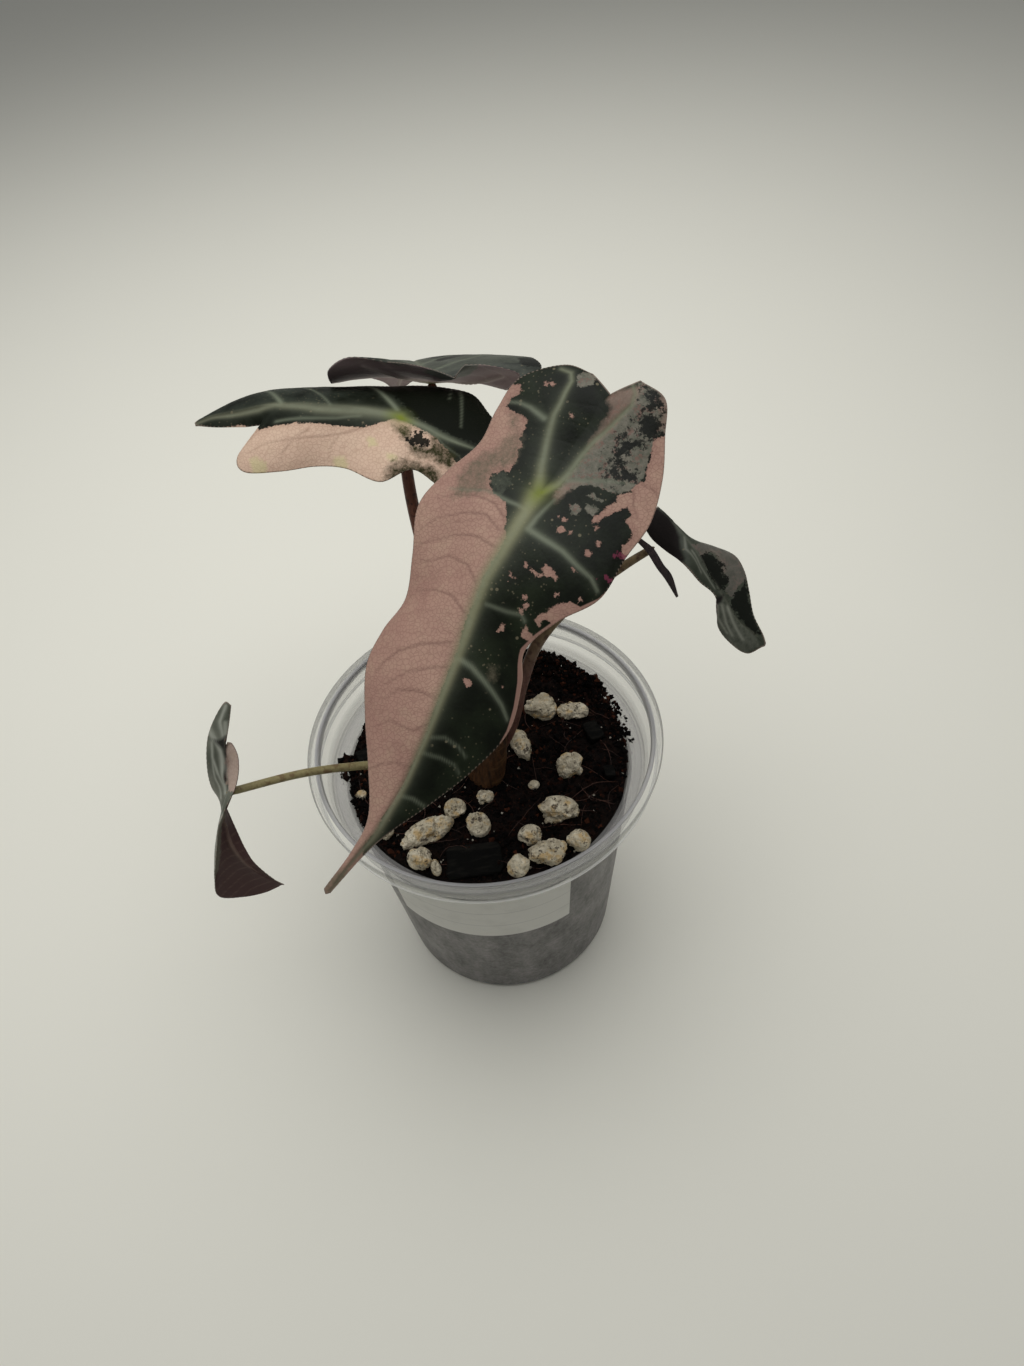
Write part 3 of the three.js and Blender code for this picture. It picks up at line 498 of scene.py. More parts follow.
# %% Veins and patches
# Flat lists of numbers: a patch is an outline x, y, x, y and so on. A vein has its half width at
# its start and at its end before them.
MARKS = {
    ("front", "ribs"): [
        (2, 0.55, 1, -1, 6.5, 0, 12.5, 0.5, 18.5, 0.5, 25.5, 0, 32.5, 0, 42, 0, 49.5, 0, 56, 0, 63.5, 0,
        72, 0, 80, 0.5, 88.5, 0.5, 98, 1, 107.5, 0.5, 115.5, 0.5), (1.45, 0.6, 0, -1, -6.5, -4.5,
        -14.5, -7, -20, -9, -26, -9.5, -29.5, -9.5, -31.5, -11, -31.5, -14), (1.2, 0.5, -0.5, 0, -4, 2,
        -10.5, 3, -19, 4, -26, 6, -30.5, 7.5, -33.5, 6.5, -35.5, 4),
    ],
    ("front", "veins"): [
        (0.85, 0.4, -18, -10.5, -19, -15.5, -19, -18.5, -18, -22), (0.6, 0.35, -6, 3.5, -8, 7.5,
        -10.5, 13, -12, 17, -12.5, 18.5), (0.6, 0.45, 5.5, -1, 6, -5.5, 6, -8, 6, -12, 8, -17,
        9.5, -21.5), (0.9, 0.45, 10, 3.5, 10.5, 7.5, 11, 13, 12.5, 18, 13.5, 22.5, 15.5, 25.5), (0.8, 0.4,
        10, 3, 6.5, 3, 3, 3.5, 0, 4), (0.45, 0.45, 31.5, 2.5, 31, 6, 30.5, 9, 29.5, 12.5, 30.5, 14),
        (0.75, 0.45, 46.5, 0.5, 47, 4.5, 48.5, 8.5, 50, 12, 52, 16, 54.5, 19), (0.36, 0.3, 67, 1.5,
        65.5, 5, 66, 9.5, 67.5, 12.5), (0.36, 0.3, 71.5, 1, 70.5, 6, 70.5, 10.5, 72, 12.5), (0.45, 0.4,
        84, 0.5, 83, 4, 83.5, 7.5),
    ],
    ("front", "lines"): [
        (0.45, 0.25, 44, -2.5, 46, -5.5, 48, -9, 52.5, -14, 57, -17, 60, -18), (0.4, 0.2, 64.5, -0.5,
        68, -3.5, 68.5, -9.5, 72.5, -13), (0.4, 0.2, 18, -1.5, 17.5, -7.5, 19.5, -13, 23, -18,
        25.5, -21.5), (0.4, 0.2, 28, -1.5, 25, -5.5, 25, -11.5, 28.5, -16.5, 29, -19.5), (0.4, 0.2,
        36, -1.5, 33.5, -6, 34.5, -11, 37, -17), (0.45, 0.2, 10, -4, 8, -8.5, 8.5, -14, 10.5, -19.5,
        13.5, -23.5), (0.4, 0.2, 13.5, -3, 11.5, -8.5, 13.5, -14, 17.5, -20, 21.5, -23), (0.4, 0.2,
        58, -1, 58.5, -5.5, 61, -10.5, 65.5, -13.5), (0.4, 0.2, 76.5, 0, 77, -4, 79.5, -7.5, 82.5, -10),
        (0.4, 0.2, 50, -1.5, 52.5, -5.5, 56, -10, 61.5, -14.5), (0.4, 0.2, -13.5, 20.5, -14, 22.5,
        -13.5, 24.5, -12.5, 25.5), (0.4, 0.2, -11, 19.5, -8, 21, -5, 24), (0.35, 0.2, 15, 22, 15.5, 24,
        15.5, 26),
    ],
    ("front", "pink"): [
        (-23.5, -21.5, -22.5, -21.5, -22, -20, -21, -20.5, -20, -21, -19.5, -21.5, -18, -21.5, -17, -21.5,
        -16, -20, -16, -18.5, -16, -16, -15.5, -14, -15.5, -14, -14, -13.5, -13.5, -13, -12, -13.5,
        -11, -13, -10, -13, -9.5, -12, -8.5, -11.5, -7.5, -12, -5.5, -11, -4, -11, -2.5, -10.5, -1, -10.5,
        -1, -11.5, -1, -12.5, 0, -12.5, 1.5, -14, 3, -13.5, 4.5, -12, 6, -10, 6, -8, 7, -5.5, 8, -4.5,
        9.5, -3.5, 11, -2.5, 13, -1.5, 15, 0, 19.5, 0, 25.5, -0.5, 32.5, -0.5, 39, -1, 45, -0.5,
        49.5, -0.5, 55.5, -0.5, 62, -0.5, 70, 0, 78, 0, 84, 0.5, 89.5, 0, 96, 0.5, 102.5, 0, 107.5, 0,
        113.5, 0, 116.5, 4.5, 117, 4, 98, -7, 81, -15, 66.5, -23, 56, -26, 43.5, -23.5, 27, -27.5,
        19, -31, 6.5, -30, -8, -27, -21.5, -28), (-29.5, 21, -26.5, 17.5, -26, 16, -24, 17, -22, 18,
        -20, 19, -17.5, 19.5, -15, 20.5, -13.5, 19.5, -12, 19, -10.5, 19, -9.5, 17.5, -8, 16.5, -7, 17,
        -5.5, 16.5, -3.5, 15.5, -2, 15.5, -0.5, 14.5, 1, 14.5, 1.5, 15.5, 0.5, 16.5, -0.5, 16.5, -2, 17,
        -4, 18, -5, 19, -6.5, 20, -6, 21, -5, 22, -3.5, 21.5, -3, 22.5, -2, 24, -1, 25, 1, 25, 2.5, 24.5,
        4.5, 25, 6, 30, 8.5, 31, 9, 31, -2, 31.5, -9.5, 30.5, -16.5, 28.5, -26, 23.5), (29, 16,
        27.5, 16.5, 26, 17.5, 25, 18, 24, 18.5, 23.5, 19, 23, 19, 22, 20, 21, 22, 21.5, 27, 22.5, 27,
        23.5, 26.5, 23.5, 26, 24, 21, 25.5, 24.5, 26.5, 25, 27, 24.5, 27.5, 23.5, 27.5, 19, 27.5, 18,
        28.5, 17.5, 30, 18, 31.5, 22.5, 31.5, 22, 30, 17.5, 29.5, 16.5), (33.5, 14.5, 31.5, 15, 32.5, 16,
        33.5, 21.5, 34, 21.5, 34.5, 21, 35.5, 20.5, 34.5, 16, 34, 14.5), (27.5, 11.5, 26, 12.5, 27.5, 13,
        28, 13, 27.5, 12), (28.5, 11, 28, 12.5, 29.5, 12.5, 29, 11.5), (34.5, 8.5, 33.5, 8.5, 33.5, 10,
        35, 9.5, 36.5, 8), (50.5, 3, 50, 5.5, 51.5, 6.5, 52, 5), (17.5, 11, 16, 11.5, 16, 13, 16.5, 14,
        17, 15.5, 18.5, 16, 18, 14.5, 18.5, 13.5, 19, 12.5, 19.5, 11.5, 18, 12, 17.5, 11.5), (7.5, 9,
        6, 9, 5.5, 10, 6.5, 11, 7.5, 10), (3.5, 7, 3, 7.5, 4, 8, 4.5, 7.5), (3.5, 8, 3.5, 9.5, 4, 10,
        4.5, 9), (8, 17.5, 8, 18, 8, 19.5, 9, 19.5, 9.5, 18.5), (5, 18.5, 4.5, 19.5, 5.5, 20.5, 6, 19.5),
        (21.5, 4.5, 22, 5.5, 22.5, 8, 22.5, 7, 23, 5.5), (23.5, 5, 23.5, 5.5, 24, 6, 24, 5.5), (18.5, 8.5,
        18.5, 10, 19, 11.5, 19.5, 11, 19, 9), (17.5, 7, 18, 8, 19, 8, 18.5, 7), (13.5, 17, 13.5, 18,
        14, 19.5, 14.5, 18), (21, 17, 20.5, 18, 21.5, 18, 22, 17.5), (25, 10.5, 25, 11.5, 25.5, 12,
        26, 11), (1.5, 16, 1, 17, 1.5, 17.5, 2.5, 17), (19, 22.5, 19, 23.5, 19.5, 23.5, 20, 23), (-22, -6,
        -22, -5, -21, -4.5, -21, -5.5), (48, 13.5, 47.5, 14.5, 48.5, 15, 48.5, 14), (6, 11.5, 5.5, 12.5,
        6, 12.5, 6.5, 12), (86, -9, 86, -1.6, 94, -0.6, 100, 0.6, 104, 2.5, 106, 6, 118, 6, 118, -6,
        100, -9), (-26.5, -16, -26.5, -15, -25.5, -14.5, -25.5, -15.5), (-27, -14.5, -27, -13, -26.5, -13,
        -26, -14),
    ],
    ("front", "blush"): [
        (-32, 1, -36, 6, -38, 7, -39.5, 8.5, -36.5, 6.5, -34, 7.5, -31.5, 8, -27.5, 6.5, -24.5, 6,
        -20.5, 5.5, -16.5, 5, -14, 4, -17.5, 3, -22, 3, -25.5, 3.5, -27.5, 3.5, -29, 1, -31, 0.5),
        (-37, 13.5, -36.5, 15.5, -34.5, 18.5, -32, 20.5, -28, 22, -29, 16, -32, 15, -33.5, 13, -34.5, 11),
        (-3.5, 3, -6, 4, -7, 7, -5, 5.5, -1.5, 5, 0.5, 4.5, -0.5, 3),
    ],
    ("front", "wash"): [
        (109, -4, 109, 4, 118, 4, 118, -4), (11, -19.5, 6, -21.5, 1.5, -21.5, -2.5, -20, -5, -17.5,
        -10, -16.5, -12, -14.5, -11, -13, -8.5, -12, -4, -11, -2, -12.5, 0.5, -14.5, 4, -13.5, 6, -11.5,
        8, -14), (-14.5, -19, -15.5, -17, -13, -15.5, -11.5, -16.5), (45, 9, 45, 11, 47, 12, 48, 10.5),
    ],
    ("front", "grey"): [
        (-36.5, 5, -40, 10, -37, 13, -35.5, 12.5, -33.5, 19, -30, 21, -28, 17, -25.5, 17, -23.5, 18,
        -21.5, 18, -18.5, 19, -16, 20, -13.5, 19.5, -11, 18.5, -9, 17, -8, 14.5, -8, 12.5, -7.5, 9.5,
        -6, 7, -4, 5.5, -1, 4.5, -1, 3, -4, 3, -8.5, 3, -13, 4, -19, 4.5, -24, 5.5, -28.5, 7, -31, 7.5,
        -33.5, 7), (-31.5, -9, -33, -8.5, -34, -6.5, -32.5, -5, -31, -4.5, -29.5, -5.5, -29, -7.5,
        -30.5, -8.5), (-4.5, 10, -6, 11, -5.5, 12, -5.5, 14, -5.5, 15, -4.5, 13.5, -4.5, 12), (-0.5, 8,
        -1.5, 9.5, -0.5, 11, 1, 11, 2, 10, 1, 9), (-2.5, 11, -3, 12.5, -2.5, 14.5, -0.5, 14.5,
        -0.5, 12.5),
    ],
    ("front", "dark"): [
        (-30.5, 12.5, -31.5, 13, -30.5, 14.5, -29, 15, -28, 15.5, -26.5, 16.5, -25, 15.5, -25, 14.5,
        -25, 13, -26.5, 12.5, -27.5, 11.5, -28.5, 12), (-22, 9.5, -22.5, 12, -22.5, 13, -23.5, 14,
        -23, 15, -21, 13.5, -19.5, 12.5, -17, 12, -17.5, 11, -19, 10.5, -20, 11), (-16.5, 11, -16.5, 13,
        -15.5, 13.5, -15.5, 12), (-14, 11.5, -14.5, 13.5, -13, 13.5, -12.5, 12), (-15, 14, -15, 15.5,
        -14, 16, -14.5, 17.5, -13.5, 18, -12.5, 15, -12.5, 14, -13.5, 15), (-36.5, 8.5, -36.5, 9.5,
        -36, 11.5, -35, 11.5, -35, 13, -34, 14.5, -33, 14, -34, 12, -32.5, 13.5, -31.5, 12, -32.5, 11.5,
        -34, 11, -34, 10, -35, 10),
    ],
    ("front", "magenta"): [
        (5.5, 23.5, 4, 24, 3, 25, 5, 29.5, 5.5, 25, 7, 25.5, 6.5, 24), (8, 30.5, 5, 30, 7, 31, 10.5, 31.5,
        12, 31.5), (11.5, 24.5, 11, 25, 11, 30, 12.5, 25.5), (14, 24, 13.5, 25, 14.5, 25.5, 14.5, 24.5),
        (15, 30, 14.5, 31, 15.5, 31, 15.5, 30.5), (10.5, 30, 10.5, 31, 11, 31), (13, 23, 12.5, 24.5,
        13, 24),
    ],
    ("front", "silver"): [
        (1.5, -13.5, -0.5, -12.5, 0, -10, 1, -8, 3.5, -8, 5.5, -8, 5.5, -10, 4, -12.5),
    ],
    ("front", "hem"): [
        (13, 27.8, 17, 26.7, 22, 23.3, 27, 20.3, 32, 17.9, 37, 16.3, 41, 16.9, 45, 18.4, 51, 19.6,
        57, 20.1, 61, 19.6, 61, 23, 51, 25, 41, 22, 37, 20, 27, 24.5, 17, 30),
    ],
    ("left", "ribs"): [
        (1.9, 0.5, 0.5, -0.5, 7, 0, 15, 1, 24.5, 1.5, 32.5, 0.5, 37, 0, 42, 1, 51, 1, 57.5, 0.5,
        61.5, 0.5), (1.3, 0.6, 0, 0, -4.5, 0, -9, 0, -14, 0.5, -21.5, 1),
    ],
    ("left", "veins"): [
        (0.9, 0.4, 2, -3, 6, -8.5, 11.5, -15.5, 16.5, -20.5, 20, -20), (0.8, 0.3, 35.5, -0.5, 41.5, -9.5,
        46.5, -16, 49.5, -14.5), (0.45, 0.2, -7.5, 1.5, -11, 1, -13.5, 3, -18, 5), (0.4, 0.3, -13, -25.5,
        -14.5, -20, -16, -11.5, -17, -5), (0.3, 0.25, -10.5, -25.5, -11, -21, -11.5, -16), (0.5, 0.4,
        36, 5.5, 26.5, 4.5, 18.5, 3.5, 11.5, 2), (0.45, 0.35, 20.5, 0, 27, -8.5, 34, -16.5),
    ],
    ("left", "lines"): [
        (0.4, 0.2, 8, 3.5, 14.5, 7, 20.5, 8.5, 30.5, 10.5, 39, 12.5, 44, 15), (0.35, 0.2, 30.5, 10.5,
        33.5, 14.5, 34, 18.5), (0.35, 0.2, 17, 7.5, 19.5, 11, 20, 14.5), (0.35, 0.2, 38, 5.5, 42, 8,
        45, 11.5), (0.35, 0.2, 26, 7.5, 29, 9.5, 28.5, 13),
    ],
    ("left", "pink"): [
        (36.5, 7, 32.5, 6.5, 24, 5.5, 16, 5.5, 11, 5, 7, 3.5, 4, 2, 1.5, 0.5, -1.5, 0.5, -4.5, 1, -8, 1,
        -11, 1.5, -14.5, 4, -18, 8, -13, 19, -8.5, 17.5, 0.5, 21, 2.5, 23.5, 2.5, 23.5, 20.5, 20,
        46, 23.5, 61, 5, 48, 4, 41, 7.5),
    ],
    ("left", "wash"): [
        (-3, 7.5, -4, 5.5, -6.5, 6, -9.5, 5, -11, 2, -14, 3, -17.5, 5, -16, 9, -12.5, 9, -10.5, 7.5,
        -8, 8.5, -5.5, 9, -4, 8.5), (2.5, 22.5, 2, 16, 1, 14.5, -1, 12.5, -4, 11, -6.5, 10.5, -9, 10.5,
        -11.5, 11, -13.5, 13, -12, 18.5, -8, 17.5, -0.5, 20.5, 1.5, 22.5), (1.5, 3.5, -3, 2, -4, 3.5,
        -3.5, 6, -1, 6), (-9.5, 0.5, -12, 1, -11.5, 3, -9.5, 3),
    ],
    ("left", "dark"): [
        (15, -18.5, 11.5, -24.5, 1.5, -25.5, -7.5, -29, -17.5, -28.5, -22, -22.5, -26.5, -9, -22.5, 0,
        -17.5, -1, -12, -1.5, -7, -1.5, -1.5, -4, 6, -12.5), (-4, 2.5, -5, 1.5, -6, 2, -6.5, 1, -8, 2,
        -7.5, 2.5, -9, 3.5, -9.5, 5, -8, 5, -7, 6, -5.5, 5.5, -4, 7, -3, 6, -4.5, 4.5, -3.5, 3.5),
    ],
    ("left", "pale"): [
        (43, 16.5, 41, 16, 38, 17.5, 38.5, 24, 42, 24), (18.5, 14, 15.5, 13, 14, 15, 16, 20, 18.5, 20),
        (2.5, 12, 0, 11.5, -0.5, 12.5, 2, 13.5), (9, 7.5, 6.5, 7.5, 5.5, 9.5, 8, 10),
    ],
    ("back", "ribs"): [
        (1.3, 0.5, 0, 0, 20, 0, 40, 0, 60, 0, 82, 0), (1.1, 0.5, 0, 0, -6, -6, -12, -12, -18, -17), (1.1,
        0.5, 0, 0, -5, 8, -9, 16, -12, 24),
    ],
    ("back", "veins"): [
        (0.35, 0.2, -15, 20, -13.5, 17, -12, 14), (0.3, 0.15, -15.5, 22, -17.5, 18, -18, 14.5,
        -17.5, 11.5), (0.3, 0.15, -23.5, -4, -24, -7, -24, -12), (0.8, 0.5, 12, 0, 17, 8, 22, 16, 26, 22),
        (0.8, 0.5, 12, 0, 17, -10, 22, -20, 26, -30), (0.8, 0.5, 30, 0, 36, 7, 42, 14), (0.8, 0.5, 30, 0,
        36, -10, 42, -20, 46, -27), (0.7, 0.5, 48, 0, 54, 6, 60, 11), (0.7, 0.5, 48, 0, 54, -8, 60, -15),
    ],
    ("back", "silver"): [
        (4, -42, 4, 42, 60, 42, 60, -42),
    ],
    ("back", "strip"): [
        (-15, -6, -15, 7, -30, 9, -30, -9), (-15, 15, -22, 12, -30, 30, -18, 34),
    ],
    ("back", "dark"): [
        (10, -30, 15, -37, 6.5, -40, 1.5, -38, 0.5, -30, 4, -29), (6, 5, 30, 4, 50, 7, 52, 14, 35, 18,
        18, 23, 6, 25), (26, -6, 45, -5, 58, -12, 44, -22, 28, -17),
    ],
    ("right", "ribs"): [
        (0.45, 0.3, -2, 0, 0.5, -0.5, 6, -1, 9.5, -1, 13.5, -0.5, 19, 0, 23, -0.5, 28.5, -0.5, 34, 0,
        39, 0.5),
    ],
    ("right", "veins"): [
        (0.55, 0.4, 25, -2.5, 29.5, -4, 33.5, -4.5), (0.55, 0.4, 26.5, -1, 32, -2, 36.5, -3), (0.4, 0.3,
        3, -1, 5.5, -3.5, 13, -4), (0.4, 0.3, 7, -2.5, 11.5, -3, 19.5, -2), (0.5, 0.4, 23.5, -3.5, 27, -6,
        32, -5.5),
    ],
    ("right", "grey"): [
        (6, -1, 7.5, 2, 12.5, 10.5, 16, 8.5, 19, 13, 21.5, 13, 26, 11.5, 25, 6, 24.5, 4, 26, 1.5, 25, 1,
        22.5, 1, 21.5, 3, 20, 3.5, 18, 3.5, 16, 4, 14, 4, 12, 3.5, 10.5, 1, 10, -0.5),
    ],
    ("right", "dark"): [
        (10, -1, 10.5, 1, 12, 2.5, 14, 3.5, 15.5, 3.5, 17, 4, 18, 3.5, 20, 3.5, 21.5, 3, 21.5, 1.5,
        21.5, 0, 21.5, -0.5, 17.5, -1, 13, -1), (25.5, 7, 30, 5.5, 35.5, 3.5, 40, 1.5, 38, 0.5, 33.5, 0.5,
        28.5, 0, 25, 0, 25.5, 1.5, 25, 3.5, 25, 5.5),
    ],
    ("right", "blush"): [
        (9.5, -1, 10, 1, 11, 2, 10.5, 0), (11.5, 3.5, 13.5, 4.5, 16, 4, 19, 4, 18.5, 3, 16, 3.5, 14, 3.5),
    ],
    ("right", "silver"): [
        (21, -7, 23.5, -1.5, 28.5, -0.5, 34.5, 0, 39.5, 0, 42, -1, 40.5, -9, 37.5, -10, 33.5, -11,
        28.5, -11.5),
    ],
    ("right", "plum"): [
        (-10.5, -9, -8, -0.5, -4, 0, -1, -0.5, 2, -2, 4.5, -4.5, 7, -6, 7.5, -11.5, 2.5, -11,
        -4.5, -11.5), (20.5, -7, 23, 0, 24, -2, 23, -7.5),
    ],
    ("low", "ribs"): [
        (0.5, 0.25, 4.5, 3, 9, -1.5, 11.5, -0.5, 15.5, 0, 19.5, 0, 24.5, 0, 30, -1),
    ],
    ("low", "veins"): [
        (0.5, 0.4, 1.5, 9.5, 8.5, 10, 19, 8.5), (0.6, 0.35, 0.5, -2.5, -6, -3, -12, -3.5, -17, -2.5),
        (0.6, 0.35, -1, -2.5, -8, -1.5, -15.5, -1, -22.5, -2.5, -26.5, -5.5), (0.5, 0.35, 2.5, -4.5,
        -4.5, -5, -11.5, -3.5), (0.5, 0.35, -4.5, -0.5, -10.5, -1, -17, -1.5, -22, -3.5),
    ],
    ("low", "pink"): [
        (-19.5, 6, -16, 6, -15, 7, -12, 8.5, -9, 9, -6, 9, -3.5, 9, -2.5, 3.5, -2.5, -1.5, -7.5, -0.5,
        -11.5, -0.5, -15, 0.5),
    ],
    ("low", "strip"): [
        (26, 14, 11, 14, 2.5, 14, -1, 10, 4, 3, 9, 1.8, 15, 3.4, 22, 6.5),
    ],
    ("low", "plum"): [
        (-18, -2, -15.5, 1.5, -11, -0.5, -4.5, -0.5, -3, -2, -7.5, -1, -13.5, -0.5, -18, -2),
    ],
}
print("outlines and veins:", sum(map(len, MARKS.values())))


# %% A blade as a surface
BELLY = 0.05  # share of the half's width
THICK, THIN = 0.36, 0.14  # half thickness by the rib and at the margin
EDGE_TAPER, QUILT_TAPER = 2.5, 3.0
RUNG_BEND, RUNG_CURVE, RUNG_WAVER, RUNG_SHARPNESS = 6, 1.35, 0.22, 14
FULL_VEIN, FULL_LINE = 0.75, 0.3  # a vein or line this wide has its full strength
HALO = 2.6  # a vein's pale surround is this many times as wide
GROOVES, RIDGES = (0.22, 0.14, 0.05), (0.75, 0.35, 0.10)  # of rib, vein and line
PATCHES = (
    "pink", "blush", "wash", "grey", "dark", "magenta", "pale", "hem", "plum", "silver", "strip",
)


def grid_normals(grid):
    """Unit vectors off a grid surface, from the cross product of its two directions."""
    along, across = np.gradient(grid, axis=0), np.gradient(grid, axis=1)
    off = np.cross(along, across)
    return off / np.maximum(np.linalg.norm(off, axis=-1, keepdims=True), 1e-9)


def turned_frame(turn):
    """Matrix of the leaf frame: roll about the midrib, then dip, then heading."""
    h, d, r = np.radians(turn)
    heading = np.array([[math.cos(h), -math.sin(h), 0], [math.sin(h), math.cos(h), 0], [0, 0, 1]])
    dip = np.array([[math.cos(d), 0, math.sin(d)], [0, 1, 0], [-math.sin(d), 0, math.cos(d)]])
    roll = np.array([[1, 0, 0], [0, math.cos(r), -math.sin(r)], [0, math.sin(r), math.cos(r)]])
    return heading @ dip @ roll


def middle_surface(rows, per_row, per_half):
    """Points of the blade, share out from the rib (-1 to 1) and flattened coordinates.

    A point is rib + share * (edge - rib), lifted by a belly of 4 * share * (1 - share) times a
    twentieth of the half's width. Flattened, it is (its own along, its distance from the rib).
    """
    at = np.linspace(0, len(rows) - 1, (len(rows) - 1) * per_row + 1)
    curves = smooth_curve(rows, at)
    rib = curves[:, None, 0]
    side = np.linspace(-1, 1, 2 * per_half + 1)
    share = np.abs(side)[None, :, None]
    edge = np.where(side[None, :, None] < 0, curves[:, None, 1], curves[:, None, 2])
    grid = rib + share * (edge - rib)
    out = np.hypot(grid[..., 1] - rib[..., 1], grid[..., 2] - rib[..., 2])
    flat = np.stack([grid[..., 0], out * np.where(side < 0, 1, -1)], -1)
    width = np.linalg.norm(edge - rib, axis=-1, keepdims=True)
    grid = grid + grid_normals(grid) * BELLY * width * 4 * share * (1 - share)
    return grid, flat


def to_margin(grid):
    """Distance from every point of a grid to the grid's outer border, block by block."""
    border = np.concatenate([grid[0], grid[-1], grid[:, 0], grid[:, -1]])[::2]
    gaps = [
        np.linalg.norm(line[:, None] - border[None], axis=-1).min(axis=1) for line in grid
    ]
    return np.array(gaps)


def vein_profile(flat, veins, spread=1.0, full=FULL_VEIN):
    """1 on a vein's line, falling off as a bell curve; one thinner than `full` is fainter."""
    highest = np.zeros(len(flat))
    for start, end, *line in veins:
        gap, share = to_line(flat, pairs(line))
        half = spread * (start + (end - start) * share)
        strength = np.clip(half / (spread * full), 0, 1)
        highest = np.maximum(highest, strength * np.exp(-((gap / half) ** 2)))
    return highest


def ladder(flat, spacing, sweep):
    """Faint rungs that leave the rib every `spacing` millimetres and sweep toward the tip."""
    out = np.abs(flat[:, 1])
    phase = (flat[:, 0] - sweep * out**RUNG_CURVE / RUNG_BEND) / spacing
    phase = phase + RUNG_WAVER * one_noise(np.c_[flat, out], 6.0, 5)
    return np.maximum(0, np.cos(2 * np.pi * phase)) ** RUNG_SHARPNESS


def sheet_faces(rows, columns):
    """Faces of a closed sheet: the points of its upper grid come first, then its under grid's."""
    layer = rows * columns
    face = grid_quads(rows, columns)
    rim = np.concatenate([
        np.arange(columns - 1), np.arange(rows - 1) * columns + columns - 1,
        layer - 1 - np.arange(columns - 1), layer - columns - np.arange(rows - 1) * columns,
    ])
    after = np.roll(rim, -1)
    wall = np.stack([rim + layer, after + layer, after, rim], -1)
    return np.concatenate([face, face[:, ::-1] + layer, wall])


def make_blade(name, leaf, marks, finish):
    """Closed blade: the middle surface moved up and down by its thickness, with sunk veins."""
    grid, flat = middle_surface(np.array(leaf["rows"], float), *leaf["fineness"])
    rows, columns = grid.shape[:2]
    spots = flat.reshape(-1, 2)
    ribs = vein_profile(spots, marks.get("ribs", []))
    halo = vein_profile(spots, marks.get("ribs", []) + marks.get("veins", []), HALO)
    veins = vein_profile(spots, marks.get("veins", []))
    lines = vein_profile(spots, marks.get("lines", []), full=FULL_LINE)
    rungs = ladder(spots, leaf.get("rungs", 5.5), leaf.get("sweep", 1.0))
    margin = to_margin(grid)
    half = THIN + (THICK - THIN) * np.clip(margin / EDGE_TAPER, 0, 1)
    quilt = 0.10 * rough_noise(np.c_[spots, 0 * ribs], 7.0, 3, 2) - 0.04 * rungs
    quilt = quilt.reshape(rows, columns) * np.clip(margin / QUILT_TAPER, 0, 1)
    groove, ridge = (
        sum(depth * drawn for depth, drawn in zip(depths, (ribs, veins, lines))).reshape(rows, columns)
        for depths in (GROOVES, RIDGES)
    )
    normal = grid_normals(grid)
    upper = grid + normal * (half + quilt - groove)[..., None]
    under = grid - normal * (half - quilt + ridge)[..., None]
    points = np.concatenate([upper.reshape(-1, 3), under.reshape(-1, 3)])
    turned = points @ turned_frame(leaf["turn"]).T + np.array(leaf["node"], float)

    measures = {
        "rib": ribs, "halo": halo, "vein": veins, "line": lines, "rung": rungs,
        "margin": margin.ravel(), "node": np.hypot(*spots.T), "along": spots[:, 0],
    }
    for patch in PATCHES:
        measures[patch] = depth_inside(spots, marks.get(patch, []))
    measures = {label: np.tile(values, 2) for label, values in measures.items()}
    measures["upper"] = np.repeat([1.0, 0.0], rows * columns)
    faces = sheet_faces(rows, columns)
    made = mesh_object(name, turned * MM, faces, finish, measures=measures)
    dress(made, leaf["solid"])
    print(name, len(faces) * 2, "triangles")


# %% [markdown]
# ## Leaf colours
#
# The upper face is near-black green with silver veins, and on this variegated plant large parts
# are pink or grey-green with ragged borders. Noise is added to each patch's depth before it is
# cut off, which tears the border the way the real one is torn. The underside is dull purple.


# %% Leaf finish
DARK, PLUM = (0.0055, 0.0065, 0.004), (0.008, 0.0045, 0.005)
SILVER, FAR_RIB = (0.135, 0.15, 0.105), (0.14, 0.13, 0.085)
DUST, CREAM, LEMON = (0.17, 0.145, 0.09), (0.55, 0.44, 0.29), (0.62, 0.55, 0.30)
MAGENTA, NODE_GLOW, NODE_BELOW = (0.16, 0.028, 0.055), (0.17, 0.20, 0.03), (0.17, 0.18, 0.04)
RIM = (0.30, 0.225, 0.18)
RIB_LENGTH, NODE_REACH = 110, 6.5  # millimetres over which the rib and the node change colour


